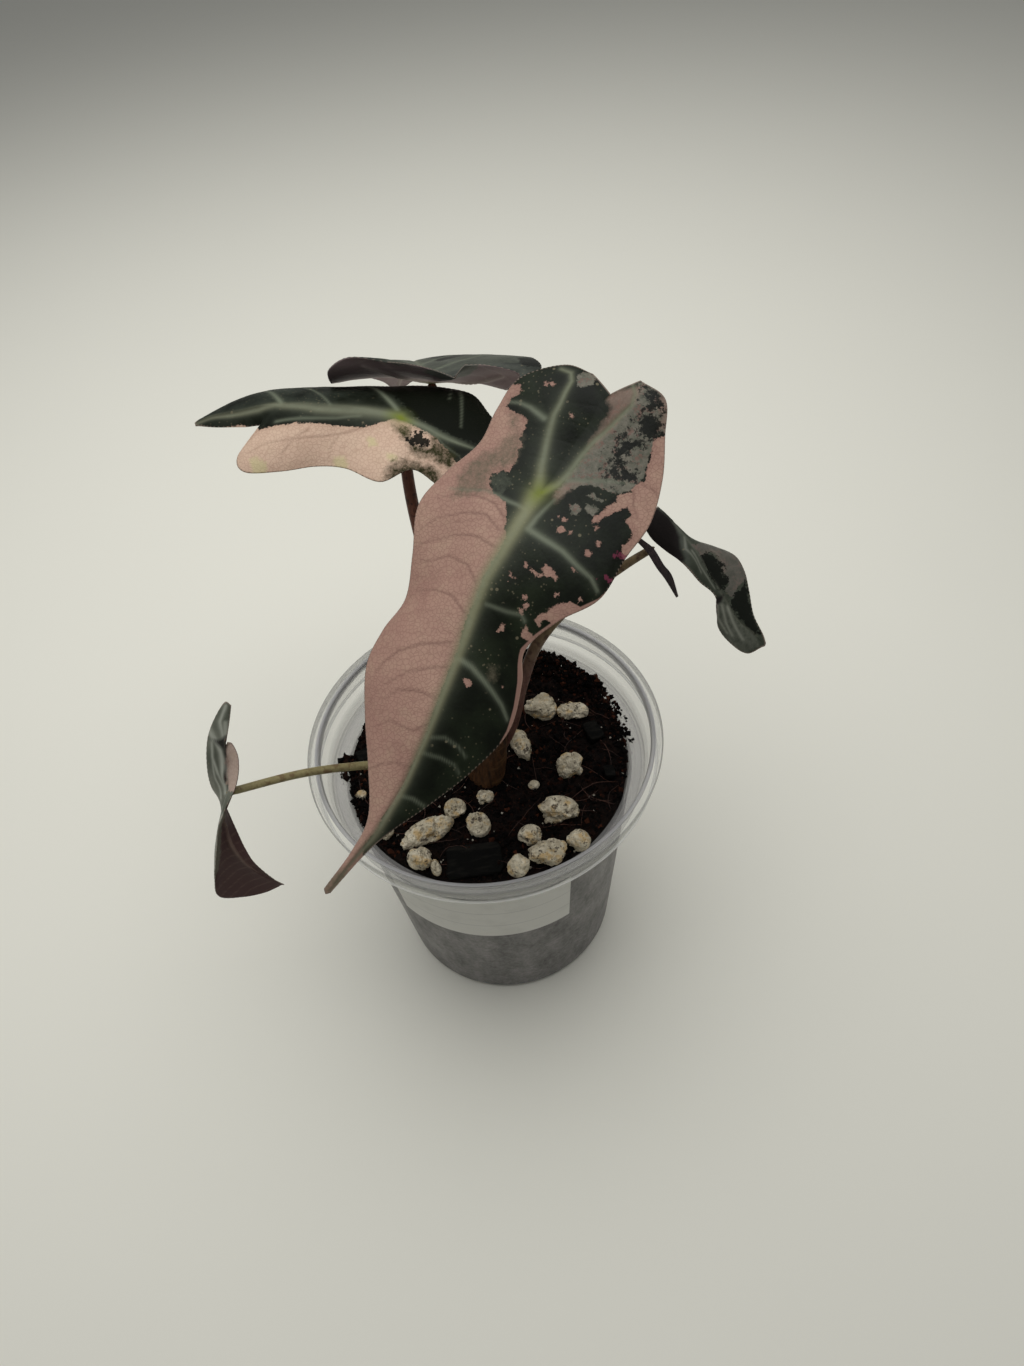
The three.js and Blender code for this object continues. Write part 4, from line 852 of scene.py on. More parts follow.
def leaf_finish(
    name, greens, pinks, wash, grey, purples, silver=SILVER, rib_near=SILVER, node=1.0, gloss=0.15,
    worn=0.30, specks=1.0
):
    """Paints a blade from its stored measures; every colour pair is blended by cloudy noise."""
    leaf = Finish(name, Roughness=0.42, Specular_IOR_Level=gloss)
    torn = (leaf.noise(2.6, 6, 0.75) - 0.5) * 2.4 + (leaf.noise(0.9, 4, 0.7) - 0.5) * 1.8

    def patch(label, soft=0.25, rough=1.0):
        """1 inside a patch, with a border torn by noise."""
        return (leaf.measure(label) + torn * rough).step(0.0, soft)

    cloud = leaf.noise(11, 5, 0.6, shift=3.0)
    fine = leaf.noise(0.9, 4, 0.6)
    mottle = leaf.noise(1.7, 5, 0.75, shift=6.0)
    rosy = leaf.noise(2.4, 5, 0.75, shift=8.0).step(0.57, 0.05)
    rung, rib = leaf.measure("rung"), leaf.measure("rib")
    vein, along = leaf.measure("vein"), leaf.measure("along")
    mottled = leaf.coats(leaf.mix(mottle.step(0.5, 0.3), *grey), (rosy * 0.6, pinks[2]))

    web = 1 - leaf.cells(1.15, "DISTANCE_TO_EDGE").step(0.07, 0.12)
    shallow = 1 - leaf.measure("pink").step(1.0, 2.4)
    flesh = leaf.coats(
        leaf.mix(leaf.noise(16, 4, shift=5.0).step(0.5, 0.5), pinks[0], pinks[1]),
        (leaf.noise(5, 5, 0.65, shift=7.0).step(0.58, 0.2) * 0.16, CREAM),
        (web * 0.30 + fine.step(0.55, 0.4) * 0.12, pinks[2]),
        (rung * 0.12, pinks[2]),
        (leaf.measure("line") * 0.42, times(0.6, pinks[2])),
        (shallow * 0.32, pinks[2]),
        (patch("pale", 1.2) * 0.7, LEMON),
    )

    speck = (1 - leaf.cells(2.6).step(0.16, 0.06)) * leaf.noise(9, 3, shift=9.0).step(0.60, 0.05)
    dust = (1 - leaf.cells(1.3, shift=4.0).step(0.17, 0.08)) * cloud.step(0.52, 0.08)
    pink_share, grey_share = patch("pink"), patch("grey")
    washed = patch("wash", 2.4, 1.8) * (mottle.step(0.50, 0.25) * 0.45 + worn)
    near = (leaf.measure("dark") / 7 + 1).clip()
    islands = (leaf.noise(1.8, 6, 0.8, shift=12.0) + near * 0.27).step(0.74, 0.05)
    fallen = (leaf.measure("magenta") + torn * 1.3).step(0.32, 0.3)
    rib_colour = leaf.coats(
        rib_near, ((along / RIB_LENGTH).clip(), FAR_RIB), ((along * -0.12).clip() * 0.7, silver)
    )
    core = rib.step(0.84, 0.3) * leaf.noise(3.0, 4, 0.6, shift=2.0).step(0.45, 0.4)
    glow = (1 - leaf.measure("node") / NODE_REACH).clip() ** 1.5 * node
    rim = 1 - leaf.measure("margin").step(0.32, 0.3)
    hem = leaf.measure("hem").step(0.0, 0.3)
    plum = leaf.measure("plum").step(0.0, 0.8)
    top = leaf.coats(
        leaf.mix(cloud.step(0.55, 0.3), *greens),
        (leaf.measure("halo") * (0.10 + mottle * 0.16), silver),
        ((speck * 0.75 + dust * 0.5).clip(), DUST),
        (grey_share * 0.95, mottled),
        (patch("silver", 0.8, 1.5) * (mottle.step(0.48, 0.4) * 0.6), times(0.7, silver)),
        (patch("blush", 1.6) * 0.75, leaf.mix(0.5, mottled, flesh)),
        (pink_share, flesh),
        (washed.clip(), wash),
        (patch("dark", rough=2.6) * 0.97, DARK),
        (islands * near.step(0.1, 0.1) * grey_share * 0.95 * specks, DARK),
        (fallen * 0.8, MAGENTA),
        ((vein * (1 - pink_share * 0.45)).clip(), times(1.2, silver)),
        (rib * (0.80 + fine * 0.16), rib_colour),
        (core * 0.35, times(1.5, silver)),
        ((glow * (rib * 0.8 + 0.35)).clip(), NODE_GLOW),
        (rim * 0.7, RIM),
        (hem * 0.85, leaf.mix(rim + fine * 0.2, pinks[0], pinks[1])),
        (plum * 0.9, PLUM),
    )
    below = leaf.coats(
        leaf.mix(cloud, purples[0], purples[1]),
        (rung * 0.25 + leaf.measure("halo") * 0.25, purples[2]),
        ((rib + vein).clip() * 0.85, purples[2]),
        (patch("strip", 0.8) * 0.9, leaf.mix(mottle, *grey)),
        (patch("dark") * patch("strip") * 0.8, DARK),
        (glow, NODE_BELOW),
    )
    upper = leaf.measure("upper").step(0.5, 0.2)
    leaf.feed("Base Color", leaf.mix(upper, below, top))
    satin = 0.36 + fine * 0.12 + pink_share * 0.10 + (1 - upper) * 0.12
    leaf.feed("Roughness", satin + plum * 0.3)
    leaf.bump(fine * 0.5 + web * pink_share * 0.3, 0.12)
    return leaf


print("a leaf's node glows out to", NODE_REACH, "mm")

# %% Make the five blades
DEEP_GREENS = ((0.0045, 0.006, 0.0028), (0.015, 0.021, 0.010))
ROSE = ((0.35, 0.20, 0.158), (0.47, 0.30, 0.225), (0.20, 0.100, 0.080))
PALE_ROSE = ((0.62, 0.43, 0.32), (0.74, 0.55, 0.41), (0.38, 0.22, 0.155))
GREYS = ((0.095, 0.098, 0.071), (0.200, 0.182, 0.142))
PURPLES = ((0.085, 0.058, 0.058), (0.15, 0.112, 0.108), (0.26, 0.21, 0.18))
SAND = (0.10, 0.10, 0.06)
OLIVE = (0.27, 0.27, 0.15)
LEAF_FINISHES = {
    "front": leaf_finish(
        "front_leaf", DEEP_GREENS, ROSE, (0.125, 0.110, 0.072), GREYS, PURPLES, rib_near=OLIVE,
        gloss=0.12, worn=0.42
    ),
    "left": leaf_finish(
        "left_leaf", ((0.006, 0.0075, 0.0045), (0.028, 0.034, 0.025)), PALE_ROSE,
        (0.034, 0.034, 0.013), GREYS, PURPLES, rib_near=(0.19, 0.20, 0.135), gloss=0.04, worn=0.70
    ),
    "back": leaf_finish(
        "back_leaf", ((0.030, 0.034, 0.027), (0.085, 0.092, 0.075)), ROSE, SAND,
        ((0.11, 0.12, 0.10), (0.21, 0.22, 0.185)),
        ((0.21, 0.150, 0.152), (0.32, 0.245, 0.242), (0.44, 0.37, 0.33))
    ),
    "low": leaf_finish(
        "low_leaf", ((0.080, 0.087, 0.064), (0.215, 0.22, 0.172)),
        ((0.42, 0.32, 0.26), (0.50, 0.39, 0.32), (0.32, 0.22, 0.18)), SAND, GREYS,
        ((0.042, 0.019, 0.020), (0.095, 0.054, 0.047), (0.21, 0.15, 0.115)),
        silver=(0.44, 0.45, 0.38), rib_near=(0.17, 0.16, 0.12), node=0.0
    ),
    "right": leaf_finish(
        "right_leaf", ((0.036, 0.042, 0.029), (0.080, 0.087, 0.064)),
        ((0.30, 0.22, 0.18), (0.34, 0.26, 0.21), (0.16, 0.12, 0.10)), SAND,
        ((0.085, 0.082, 0.066), (0.125, 0.115, 0.095)),
        ((0.016, 0.006, 0.008), (0.042, 0.019, 0.023), (0.10, 0.06, 0.055)),
        silver=(0.22, 0.225, 0.18), rib_near=(0.13, 0.135, 0.105), node=0.0, specks=0.0
    ),
}
for name, leaf in LEAVES.items():
    marks = {kind: drawn for (owner, kind), drawn in MARKS.items() if owner == name}
    make_blade(f"blade_{name}", leaf, marks, LEAF_FINISHES[name])

# %% [markdown]
# ## Stalks and stem
#
# A stalk is a round rod that thins toward the blade and ends rounded under it. A ring of points is
# carried along a smooth curve. The short stem is a wider rod, wrapped in dry brown leaf bases, so
# its surface gets rings and long fibres.


# %% Rods
def rod_grid(points, radii, sides, steps, tip=0.0):
    """Rings of points: centre + radius * (cos, sin) across the curve's direction.

    The last `tip` millimetres close as an ellipse, radius times the root of 1 - share squared.
    """
    at = np.linspace(0, len(points) - 1, (len(points) - 1) * steps + 1)
    centre = smooth_curve(points, at)
    radius = smooth_curve(np.array(radii, float)[:, None], at)[:, 0]
    along = np.gradient(centre, axis=0)
    along /= np.linalg.norm(along, axis=1, keepdims=True)
    aside = np.eye(3)[np.argmin(np.abs(along.mean(0)))]
    across = aside - (along @ aside)[:, None] * along
    across /= np.linalg.norm(across, axis=1, keepdims=True)
    up = np.cross(along, across)
    if tip:
        left = np.linalg.norm(centre - centre[-1], axis=1)
        radius = radius * np.sqrt(np.clip(1 - (1 - left / tip).clip(0) ** 2, 0.01, 1))
    turn = around(sides)[None, :, None]
    ring = np.cos(turn) * across[:, None] + np.sin(turn) * up[:, None]
    return centre[:, None] + radius[:, None, None] * ring, centre


def closed_tube(grid, start, end):
    """Points and faces of rings of points, closed by a fan at each end."""
    rings, sides = grid.shape[:2]
    points = np.concatenate([grid.reshape(-1, 3), [start], [end]])
    k = np.arange(sides)
    after = (k + 1) % sides
    count = rings * sides
    first = np.stack([after, k, np.full(sides, count)], -1)
    last = np.stack([k, after, np.full(sides, count + 1)], -1)
    last[:, :2] += count - sides
    return points, [*grid_quads(rings, sides, ring=True), *first, *last]


def joined(bodies):
    """The points and faces of several bodies as those of one."""
    starts = np.cumsum([0] + [len(points) for points, _ in bodies])
    moved = [
        [corner + start for corner in face]
        for start, (_, faces) in zip(starts, bodies) for face in faces
    ]
    return np.concatenate([points for points, _ in bodies]), moved


def make_rod(name, node, finish, points, radii, sides=24, steps=14, tip=0.0, rough=0.0):
    """A rod in place of a solid; `rough` moves its skin in and out by seeded noise."""
    grid, centre = rod_grid(points, radii, sides, steps, tip)
    if rough:
        away = grid - centre[:, None]
        grid = grid + away * rough * rough_noise(grid * [1, 1, 0.35], 3.0, 8)[..., None]
    points, faces = closed_tube(grid, centre[0], centre[-1])
    dress(mesh_object(name, points * MM, faces, finish), node)


FOOT_TOP, FOOT_FADE = 150, 16


def stalk_finish(name, light, dark, marks, foot=None):
    """Fine stripes along the stalk and short darker marks; `foot` is its colour low down."""
    stalk = Finish(name, Roughness=0.45, Specular_IOR_Level=0.22)
    stripes = stalk.noise(2.0, 4, stretch=(2.0, 2.0, 0.25))
    blots = stalk.noise(1.8, 3, shift=4.0).step(0.58, 0.12)
    colour = stalk.mix(stripes.step(0.5, 0.5), dark, light)
    if foot:
        low = stalk.mix(stripes, marks, foot)
        colour = stalk.mix(stalk.height().step(FOOT_TOP, FOOT_FADE), low, colour)
    stalk.feed("Base Color", stalk.mix(blots * 0.7, colour, marks))
    stalk.bump(stripes, 0.12)
    return stalk


STALKS = {  # finish, slot, points from the stem to the blade, radii
    "front": (
        "rosy", "red_stalk", [[4, -5, 117], [7, -4, 135], [13, -2, 165], [20, -3, 195], [24, -8, 214]],
        [2.7, 2.6, 2.4, 2.2, 2],
    ),
    "left": (
        "red", "red_stalk", [[-3, -3, 106], [-6, 3, 132], [-8, 14, 162], [-10, 26, 192], [-9, 35, 213]],
        [2, 2, 1.9, 1.8, 1.6],
    ),
    "back": (
        "red", "red_stalk", [[1.5, -2, 106], [1.5, 10, 135], [2, 32, 168], [2, 52, 192], [1, 64, 205]],
        [2, 2, 1.9, 1.8, 1.6],
    ),
    "low": (
        "olive", "olive_stalk",
        [[-4, -5.5, 103], [-20, -7, 108.5], [-39, -9, 114.5], [-58, -15, 123.5], [-79.5, -24.2, 132]],
        [1.7, 1.6, 1.4, 1.3, 1.2],
    ),
    "right": (
        "tan", "olive_stalk",
        [[3.5, -5, 104], [10, -4.5, 119], [14.5, -4, 137], [21, -2, 153], [33, 0, 165.5],
         [47, 1, 175.2], [57, 2.4, 179.9]],
        [2, 2, 1.9, 1.8, 1.5, 1.3, 1.1],
    ),
}
RUST = (0.06, 0.024, 0.018)
STALK_FINISHES = {
    name: stalk_finish(f"{name}_stalk", *colours) for name, colours in {
        "rosy": ((0.235, 0.110, 0.085), (0.120, 0.048, 0.034), RUST),
        "red": ((0.20, 0.085, 0.052), (0.105, 0.038, 0.022), (0.03, 0.012, 0.009)),
        "olive": ((0.30, 0.26, 0.125), (0.20, 0.165, 0.075), (0.13, 0.07, 0.035)),
        "tan": ((0.20, 0.145, 0.075), (0.115, 0.078, 0.038), RUST, (0.20, 0.100, 0.075)),
    }.items()
}
for name, (finish, slot, points, radii) in STALKS.items():
    make_rod(
        f"stalk_of_{name}", f"stalk_{name}", STALK_FINISHES[finish], points, radii, tip=3.0
    )
print("stalks:", len(STALKS))

# %% Stem
STEM_PATH = [[-2, -5, 73], [-2, -5, 78], [-1.5, -5, 86], [-1, -5, 95], [1, -5, 106], [4, -5, 118]]
STEM_RADII = [4, 8.5, 8.5, 6.8, 5.6, 4.4]
wrapped = Finish("wrapped_stem", Roughness=0.6, Specular_IOR_Level=0.35)
fibre = wrapped.noise(1.6, 5, stretch=(1.6, 1.6, 0.2))
ring_marks = wrapped.noise(4.0, 3, stretch=(0.4, 0.4, 1.6), shift=2.0)
bark_brown = wrapped.mix(fibre.step(0.5, 0.4), (0.018, 0.008, 0.004), (0.12, 0.052, 0.018))
wrapped.feed(
    "Base Color", wrapped.mix(ring_marks.step(0.62, 0.1) * 0.5, bark_brown, (0.20, 0.11, 0.045))
)
wrapped.bump(fibre + ring_marks, 0.5)
make_rod("wrapped_stem", "stem_base", wrapped, STEM_PATH, STEM_RADII, 64, 14, rough=0.05)
print("stem height:", STEM_PATH[-1][2] - STEM_PATH[0][2], "mm")

# %% [markdown]
# ## Dried sheath
#
# A shrivelled sheath hangs over the stalk of the right leaf. It is a narrow pointed strip, so the
# blade's surface serves again, curled by its own rows and with a dark papery finish.

# %% Dried sheath
SHEATH = {
    "solid": "dried_sheath", "slot": "dry_sheath", "node": [55.3, 0.15, 180.63], "turn": [0, 0, 0],
    "fineness": (12, 10),
    "rows": [
        [[7, -5.6, -14.4], [7.3, -5.6, -14.2], [6.7, -5.6, -14.6]],
        [[4.5, -4, -7.5], [5.5, -4, -7], [3.5, -4, -8]],
        [[2.3, -2.6, -4], [3.3, -2.6, -3.5], [1.3, -2.6, -4.5]],
        [[0, 0, 0], [1, 0, 0.6], [-1, 0, -0.4]],
        [[-2, 2, 1.8], [-1.4, 2, 2.4], [-2.6, 2, 1.2]],
        [[-4, 4, 3], [-3.6, 4, 3.5], [-4.4, 4, 2.5]],
    ],
}
papery = Finish("papery_sheath", Roughness=0.7)
creases = papery.noise(1.2, 5, stretch=(2, 2, 0.4))
papery.feed(
    "Base Color", papery.mix(creases.step(0.5, 0.4), (0.010, 0.006, 0.007), (0.055, 0.034, 0.034))
)
papery.bump(creases, 0.25)
make_blade("papery_sheath", SHEATH, {}, papery)

# %% [markdown]
# ## Soil
#
# The mix is dark and loose: peat lumps, coir fibre and grit. One turned surface fills the pot, its
# top a fine polar grid with several sizes of noise. Loose crumbs and fibres lie on it. Hundreds of
# them are needed, so each has few faces, and one rule with seeded draws places them all.

# %% Soil surface
SOIL_LEVEL, SOIL_RELIEF, SOIL_EDGE = 94.6, 1.3, 47.9
SOIL_SIDES, SOIL_RINGS = 320, 110
BANK_HEIGHT, BANK_BEARING, BANK_SPREAD, BANK_START = 2.2, 55, 32, 39


def soil_height(x, y):
    """The solid's surface: low lumps as the sum of three sine waves, millimetres above the base."""
    waves = (
        np.sin(0.21 * x + 0.13 * y + 0.4) + np.sin(-0.11 * x + 0.24 * y + 2.1)
        + 0.7 * np.sin(0.33 * x - 0.29 * y + 1.3)
    )
    return SOIL_LEVEL + SOIL_RELIEF * waves / 2.7


def crumbly_height(x, y):
    """The waves plus noise in five octaves, fading out at the wall, and a bank at the far right."""
    spot = np.stack([x, y, 0 * x], -1)
    grit = 1.3 * rough_noise(spot, 7.0, 21, 5) + 0.5 * np.abs(rough_noise(spot, 1.6, 31, 2))
    reach = np.hypot(x, y)
    fade = np.clip((SOIL_EDGE - reach) / 3, 0, 1)
    bearing = np.degrees(np.arctan2(y, x))
    bank = BANK_HEIGHT * np.exp(-(((bearing - BANK_BEARING) / BANK_SPREAD) ** 4))
    bank = bank * np.clip((reach - BANK_START) / 8, 0, 1) ** 2
    return SOIL_LEVEL + (soil_height(x, y) - SOIL_LEVEL) * fade + grit * (0.35 + 0.65 * fade) + bank


WALL = np.array([  # radius and height of the soil's side, from the floor up
    (38.2, 1.7), (39.9, 3.4), (41.2, 16.0), (44.4, 52.0), (47.2, 84.0), (48.0, 93.0),
])
turn = around(SOIL_SIDES)
radius = np.concatenate([WALL[:, :1], np.linspace(SOIL_EDGE, 0.4, SOIL_RINGS)[:, None]])
x, y = radius * np.cos(turn), radius * np.sin(turn)
top_height = crumbly_height(x[len(WALL):], y[len(WALL):])
z = np.concatenate([np.repeat(WALL[:, 1:], SOIL_SIDES, 1), top_height])
peat = Finish("peat_soil", Roughness=1.0, Specular_IOR_Level=0.12)
clump = peat.noise(5, 6, 0.7)
coir = peat.noise(1.1, 3, 0.6, shift=7.0)
dark_peat = peat.mix(clump.step(0.56, 0.25), (0.0035, 0.0024, 0.002), (0.012, 0.006, 0.004))
peat.feed("Base Color", peat.mix(coir.step(0.66, 0.08) * 0.6, dark_peat, (0.045, 0.018, 0.010)))
peat.bump(clump + coir, 0.9)
middle_top = [0, 0, crumbly_height(0, 0)]
points, faces = closed_tube(np.stack([x, y, z], -1), [0, 0, WALL[0, 1]], middle_top)
dress(mesh_object("soil_mix", points * MM, faces, peat), "soil")
print("soil:", len(faces), "faces, top", np.round([top_height.min(), top_height.max()], 1), "mm")


# %% Crumbs
def ball_grid(rings, sides):
    """Directions from a ball's centre: rings from the south pole to the north, poles left out."""
    tilt = np.linspace(-np.pi / 2, np.pi / 2, rings + 2)[1:-1, None]
    turn = around(sides)[None]
    return np.stack([
        np.cos(tilt) * np.cos(turn), np.cos(tilt) * np.sin(turn), np.sin(tilt) + 0 * turn
    ], -1)


def spun(count, draw):
    """Random rotations, one 3 x 3 matrix each, from the QR split of random matrices."""
    return np.linalg.qr(draw.normal(size=(count, 3, 3)))[0]


EIGHT_SIDED = np.array([[1, 0, 0], [0, 1, 0], [-1, 0, 0], [0, -1, 0], [0, 0, 1], [0, 0, -1]])
EIGHT_FACES = np.array([
    [0, 1, 4], [1, 2, 4], [2, 3, 4], [3, 0, 4], [1, 0, 5], [2, 1, 5], [3, 2, 5], [0, 3, 5],
])
LEDGE, LEDGE_START, LEDGE_END = 95.6, 48.3, 51.2


def grains(name, centre, size, finish, tone, draw):
    """Angular crumbs: stretched, dented and turned eight-sided bodies in one object."""
    count = len(centre)
    body = EIGHT_SIDED * (size[:, None, None] * draw.uniform(0.55, 1.25, (count, 1, 3)))
    body = body * draw.uniform(0.7, 1.2, (count, 6, 1))
    points = centre[:, None] + np.einsum("nij,nkj->nki", spun(count, draw), body)
    faces = (EIGHT_FACES[None] + 6 * np.arange(count)[:, None, None]).reshape(-1, 3)
    made = mesh_object(name, points.reshape(-1, 3) * MM, faces, finish, smooth=False,
                       measures={"tone": np.repeat(tone, 6)})
    dress(made)
    print(name, count, "grains, highest", round(points[..., 2].max(), 1), "mm")


def scattered(count, banks, draw):
    """Places on the soil: evenly over the disc, or in banks against the wall and on its ledge."""
    shares = [bank[5] for bank in banks]
    kind = draw.choice(len(banks) + 1, count, p=[1 - sum(shares)] + shares)
    bank = np.array([(0, 0, 0, 0, 0, 0)] + banks)[kind]
    inner, outer = bank[:, 2], np.where(kind > 0, bank[:, 3], SOIL_EDGE)
    reach = np.sqrt(draw.uniform(inner**2, outer**2))
    bearing = np.where(kind > 0, bank[:, 0] + bank[:, 1] * draw.normal(size=count),
                       draw.uniform(0, 360, count))
    x, y = reach * np.cos(np.radians(bearing)), reach * np.sin(np.radians(bearing))
    near = np.exp(-(((bearing - bank[:, 0]) / np.maximum(bank[:, 1], 1)) ** 2))
    ground = np.where(reach > LEDGE_START, LEDGE, crumbly_height(x, y))
    return np.stack([x, y, ground + bank[:, 4] * near * draw.uniform(0, 1, count)], -1)


CRUMBS, PALE_CRUMBS = 13000, 110
CRUMB_LEAST, CRUMB_SPAN, CRUMB_POWER = 0.26, 1.25, 3.2  # the power keeps most crumbs small
BANKS = [  # bearing in degrees, its spread, inner and outer radius, height, share of the crumbs
    (52, 19, 42.0, LEDGE_END, 2.6, 0.20),
    (31, 3, 46.0, LEDGE_END, 4.5, 0.02),
    (173, 3, 46.0, LEDGE_END, 3.5, 0.015),
    (12, 12, 45.0, 48.0, 1.5, 0.04),
    (196, 18, 43.0, 48.0, 1.5, 0.05),
]
draw = np.random.default_rng(12)
grit = Finish("soil_grit", Roughness=1.0, Specular_IOR_Level=0.10)
shade = grit.measure("tone")
grit_colour = grit.mix(shade.step(0.60, 0.15), (0.0022, 0.0016, 0.0013), (0.012, 0.0048, 0.003))
grit_colour = grit.mix(shade.step(0.94, 0.04), grit_colour, (0.050, 0.016, 0.008))
grit.feed("Base Color", grit_colour)
centre = scattered(CRUMBS, BANKS, draw)
size = CRUMB_LEAST + CRUMB_SPAN * draw.uniform(0, 1, CRUMBS) ** CRUMB_POWER
grains("soil_crumbs", centre, size, grit, draw.uniform(0, 1, CRUMBS), draw)
pale_grit = Finish("pale_grit", Roughness=0.95)
pale_grit.feed(
    "Base Color", pale_grit.mix(pale_grit.noise(5, 2), (0.20, 0.17, 0.12), (0.62, 0.58, 0.49))
)
centre = scattered(PALE_CRUMBS, [(48, 22, 42.0, 47.5, 0.6, 0.15)], draw) + np.array([0, 0, 0.35])
size = draw.uniform(0.25, 0.7, PALE_CRUMBS)
grains("pale_crumbs", centre, size, pale_grit, size, draw)

# %% Fibres
FIBRES, FIBRE_STEPS, FIBRE_SIDES = 70, 12, 5
FIBRE_LENGTH, FIBRE_RADIUS, FIBRE_BEND = (5, 20), (0.08, 0.17), 0.6
FIBRE_REACH, FIBRE_LIMIT = 45, 47.5  # from the pot's axis: the middles, and every point
FIBRE_LIFT, FIBRE_ARCH = 0.5, 0.9
draw = np.random.default_rng(31)
reach = FIBRE_REACH * np.sqrt(draw.uniform(0, 1, FIBRES))
bearing = draw.uniform(0, 2 * np.pi, FIBRES)
start = np.c_[reach * np.cos(bearing), reach * np.sin(bearing)]
heading = draw.uniform(0, 2 * np.pi, FIBRES)
length = draw.uniform(*FIBRE_LENGTH, FIBRES)
bend = draw.normal(0, FIBRE_BEND, FIBRES)
t = np.linspace(-0.5, 0.5, FIBRE_STEPS)[None]
way = heading[:, None] + bend[:, None] * t
fx = start[:, :1] + length[:, None] * t * np.cos(way)
fy = start[:, 1:] + length[:, None] * t * np.sin(way)
pull = np.minimum(1, FIBRE_LIMIT / np.hypot(fx, fy))
fx, fy = fx * pull, fy * pull
arch = FIBRE_ARCH * np.cos(np.pi * t) * draw.uniform(0, 1, (FIBRES, 1))
middle = np.stack([fx, fy, crumbly_height(fx, fy) + FIBRE_LIFT + arch], -1)
turn = around(FIBRE_SIDES)
aside = np.stack([-np.sin(way), np.cos(way), 0 * way], -1)
girth = draw.uniform(*FIBRE_RADIUS, (FIBRES, 1, 1, 1)) * (1 - (2 * t[..., None, None]) ** 4 * 0.9)
rings = middle[:, :, None] + girth * (
    np.cos(turn)[:, None] * aside[:, :, None] + np.sin(turn)[:, None] * np.array([0, 0, 1])
)
points, faces = joined([
    closed_tube(ring, path[0], path[-1]) for ring, path in zip(rings, middle)
])
coir_finish = Finish("coir_fibre", Roughness=0.8)
tone = coir_finish.noise(6, 2)
coir_finish.feed(
    "Base Color", coir_finish.mix(tone.step(0.5, 0.3), (0.014, 0.005, 0.003), (0.070, 0.024, 0.012))
)
dress(mesh_object("soil_fibres", points * MM, faces, coir_finish))
print("fibres:", FIBRES)

# %% [markdown]
# ## Pumice and bark
#
# Pumice is a pale volcanic froth: rounded lumps, pitted, stained ochre by the soil. Each is a ball
# cut by random planes, and rough noise then moves its skin and sinks holes in it. The bark chips
# are slabs: a ball becomes a slab when each coordinate of its directions is raised to a small power.

# %% Pumice
PUMICE = [  # x, y, wide, deep, tall, turn in degrees, share sunk in the soil
    (21.6, 18, 11.6, 12.4, 9, 20, 0.3),
    (32.4, 13.4, 11.4, 7.8, 7, -12, 0.3),
    (12.4, 3.1, 7.4, 13.4, 8, 10, 0.35),
    (27.4, -9, 10.4, 9.6, 9, 35, 0.3),
    (14, -14, 4, 3.5, 3, 0, 0.3),
    (-3, -15, 6.4, 5.8, 5, 15, 0.3),
    (20, -27, 14.8, 10.8, 10, -10, 0.3),
    (-13.4, -18.8, 7.6, 7.4, 6, 30, 0.3),
    (-6.8, -26.8, 8.4, 10.2, 7, 30, 0.3),
    (9.7, -33.6, 8.2, 7.4, 7, 15, 0.3),
    (14, -42.6, 14, 9.6, 9, 10, 0.05),
    (24.6, -40.2, 8, 7.8, 7.4, 25, 0.05),
    (4.3, -45.6, 8, 7.2, 7, 40, 0),
    (-23.8, -26.2, 20.4, 8.6, 9, 22, 0.3),
    (-26.6, -36.4, 8.8, 7.8, 7, -30, 0.2),
    (-21.9, -40.2, 3.6, 5.8, 5, 10, 0.2),
    (-37.6, -23.6, 7.2, 7.6, 6.6, 10, 0.2),
    (-44.4, -7, 4, 4, 3, 0, 0.2),
]
STONE_REACH, STONE_LUMPS, STONE_HOLES = 1.02, 0.26, 0.17
PLANES, PLANE_DISTANCE = 10, (0.66, 0.98)
directions = ball_grid(46, 64)


def chipped(directions, seed):
    """Radius of a ball cut by random planes: the least of a plane's distance over the cosine."""
    draw = np.random.default_rng(seed)
    normals = draw.normal(size=(PLANES, 3))
    normals /= np.linalg.norm(normals, axis=1, keepdims=True)
    cosine = np.maximum(directions @ normals.T, 0.05)
    return np.minimum(1, (draw.uniform(*PLANE_DISTANCE, PLANES) / cosine).min(axis=-1))


def make_lump(name, solid, finish, row, body):
    """Turns a body about the upright, sets it on the soil at its row's place and closes it."""
    px, py, _, _, tall, angle, sunk = row
    c, s = math.cos(math.radians(angle)), math.sin(math.radians(angle))
    grid = np.stack([
        px + c * body[..., 0] - s * body[..., 1], py + s * body[..., 0] + c * body[..., 1],
        soil_height(px, py) + tall * (0.5 - sunk) + body[..., 2],
    ], -1)
    points, faces = closed_tube(grid, grid[0].mean(0), grid[-1].mean(0))
    dress(mesh_object(name, points * MM, faces, finish), solid)


pumice = Finish("pumice_froth", Roughness=0.95)
shade = pumice.noise(6, 5, 0.6)
stain = pumice.noise(3.4, 4, 0.6, shift=6.0)
pores = pumice.cells(0.9)
# Painted shade: the stone's colour is darker inside its pores.
pore_shade = 1 - pores.step(0.22, 0.16)
grime = pumice.noise(2.1, 5, 0.75, shift=2.0).step(0.585, 0.05)
pumice.feed("Base Color", pumice.coats(
    pumice.mix(shade.step(0.5, 0.3), (0.44, 0.38, 0.26), (0.76, 0.69, 0.52)),
    (stain.step(0.58, 0.14) * 0.65, (0.54, 0.33, 0.09)),
    (stain.step(0.40, -0.12) * 0.45, (0.20, 0.15, 0.095)),
    (grime * 0.9, (0.035, 0.022, 0.014)),
    (pore_shade * 0.45, (0.16, 0.12, 0.07)),
))
pumice.bump(pores * 0.6 + shade, 0.7)

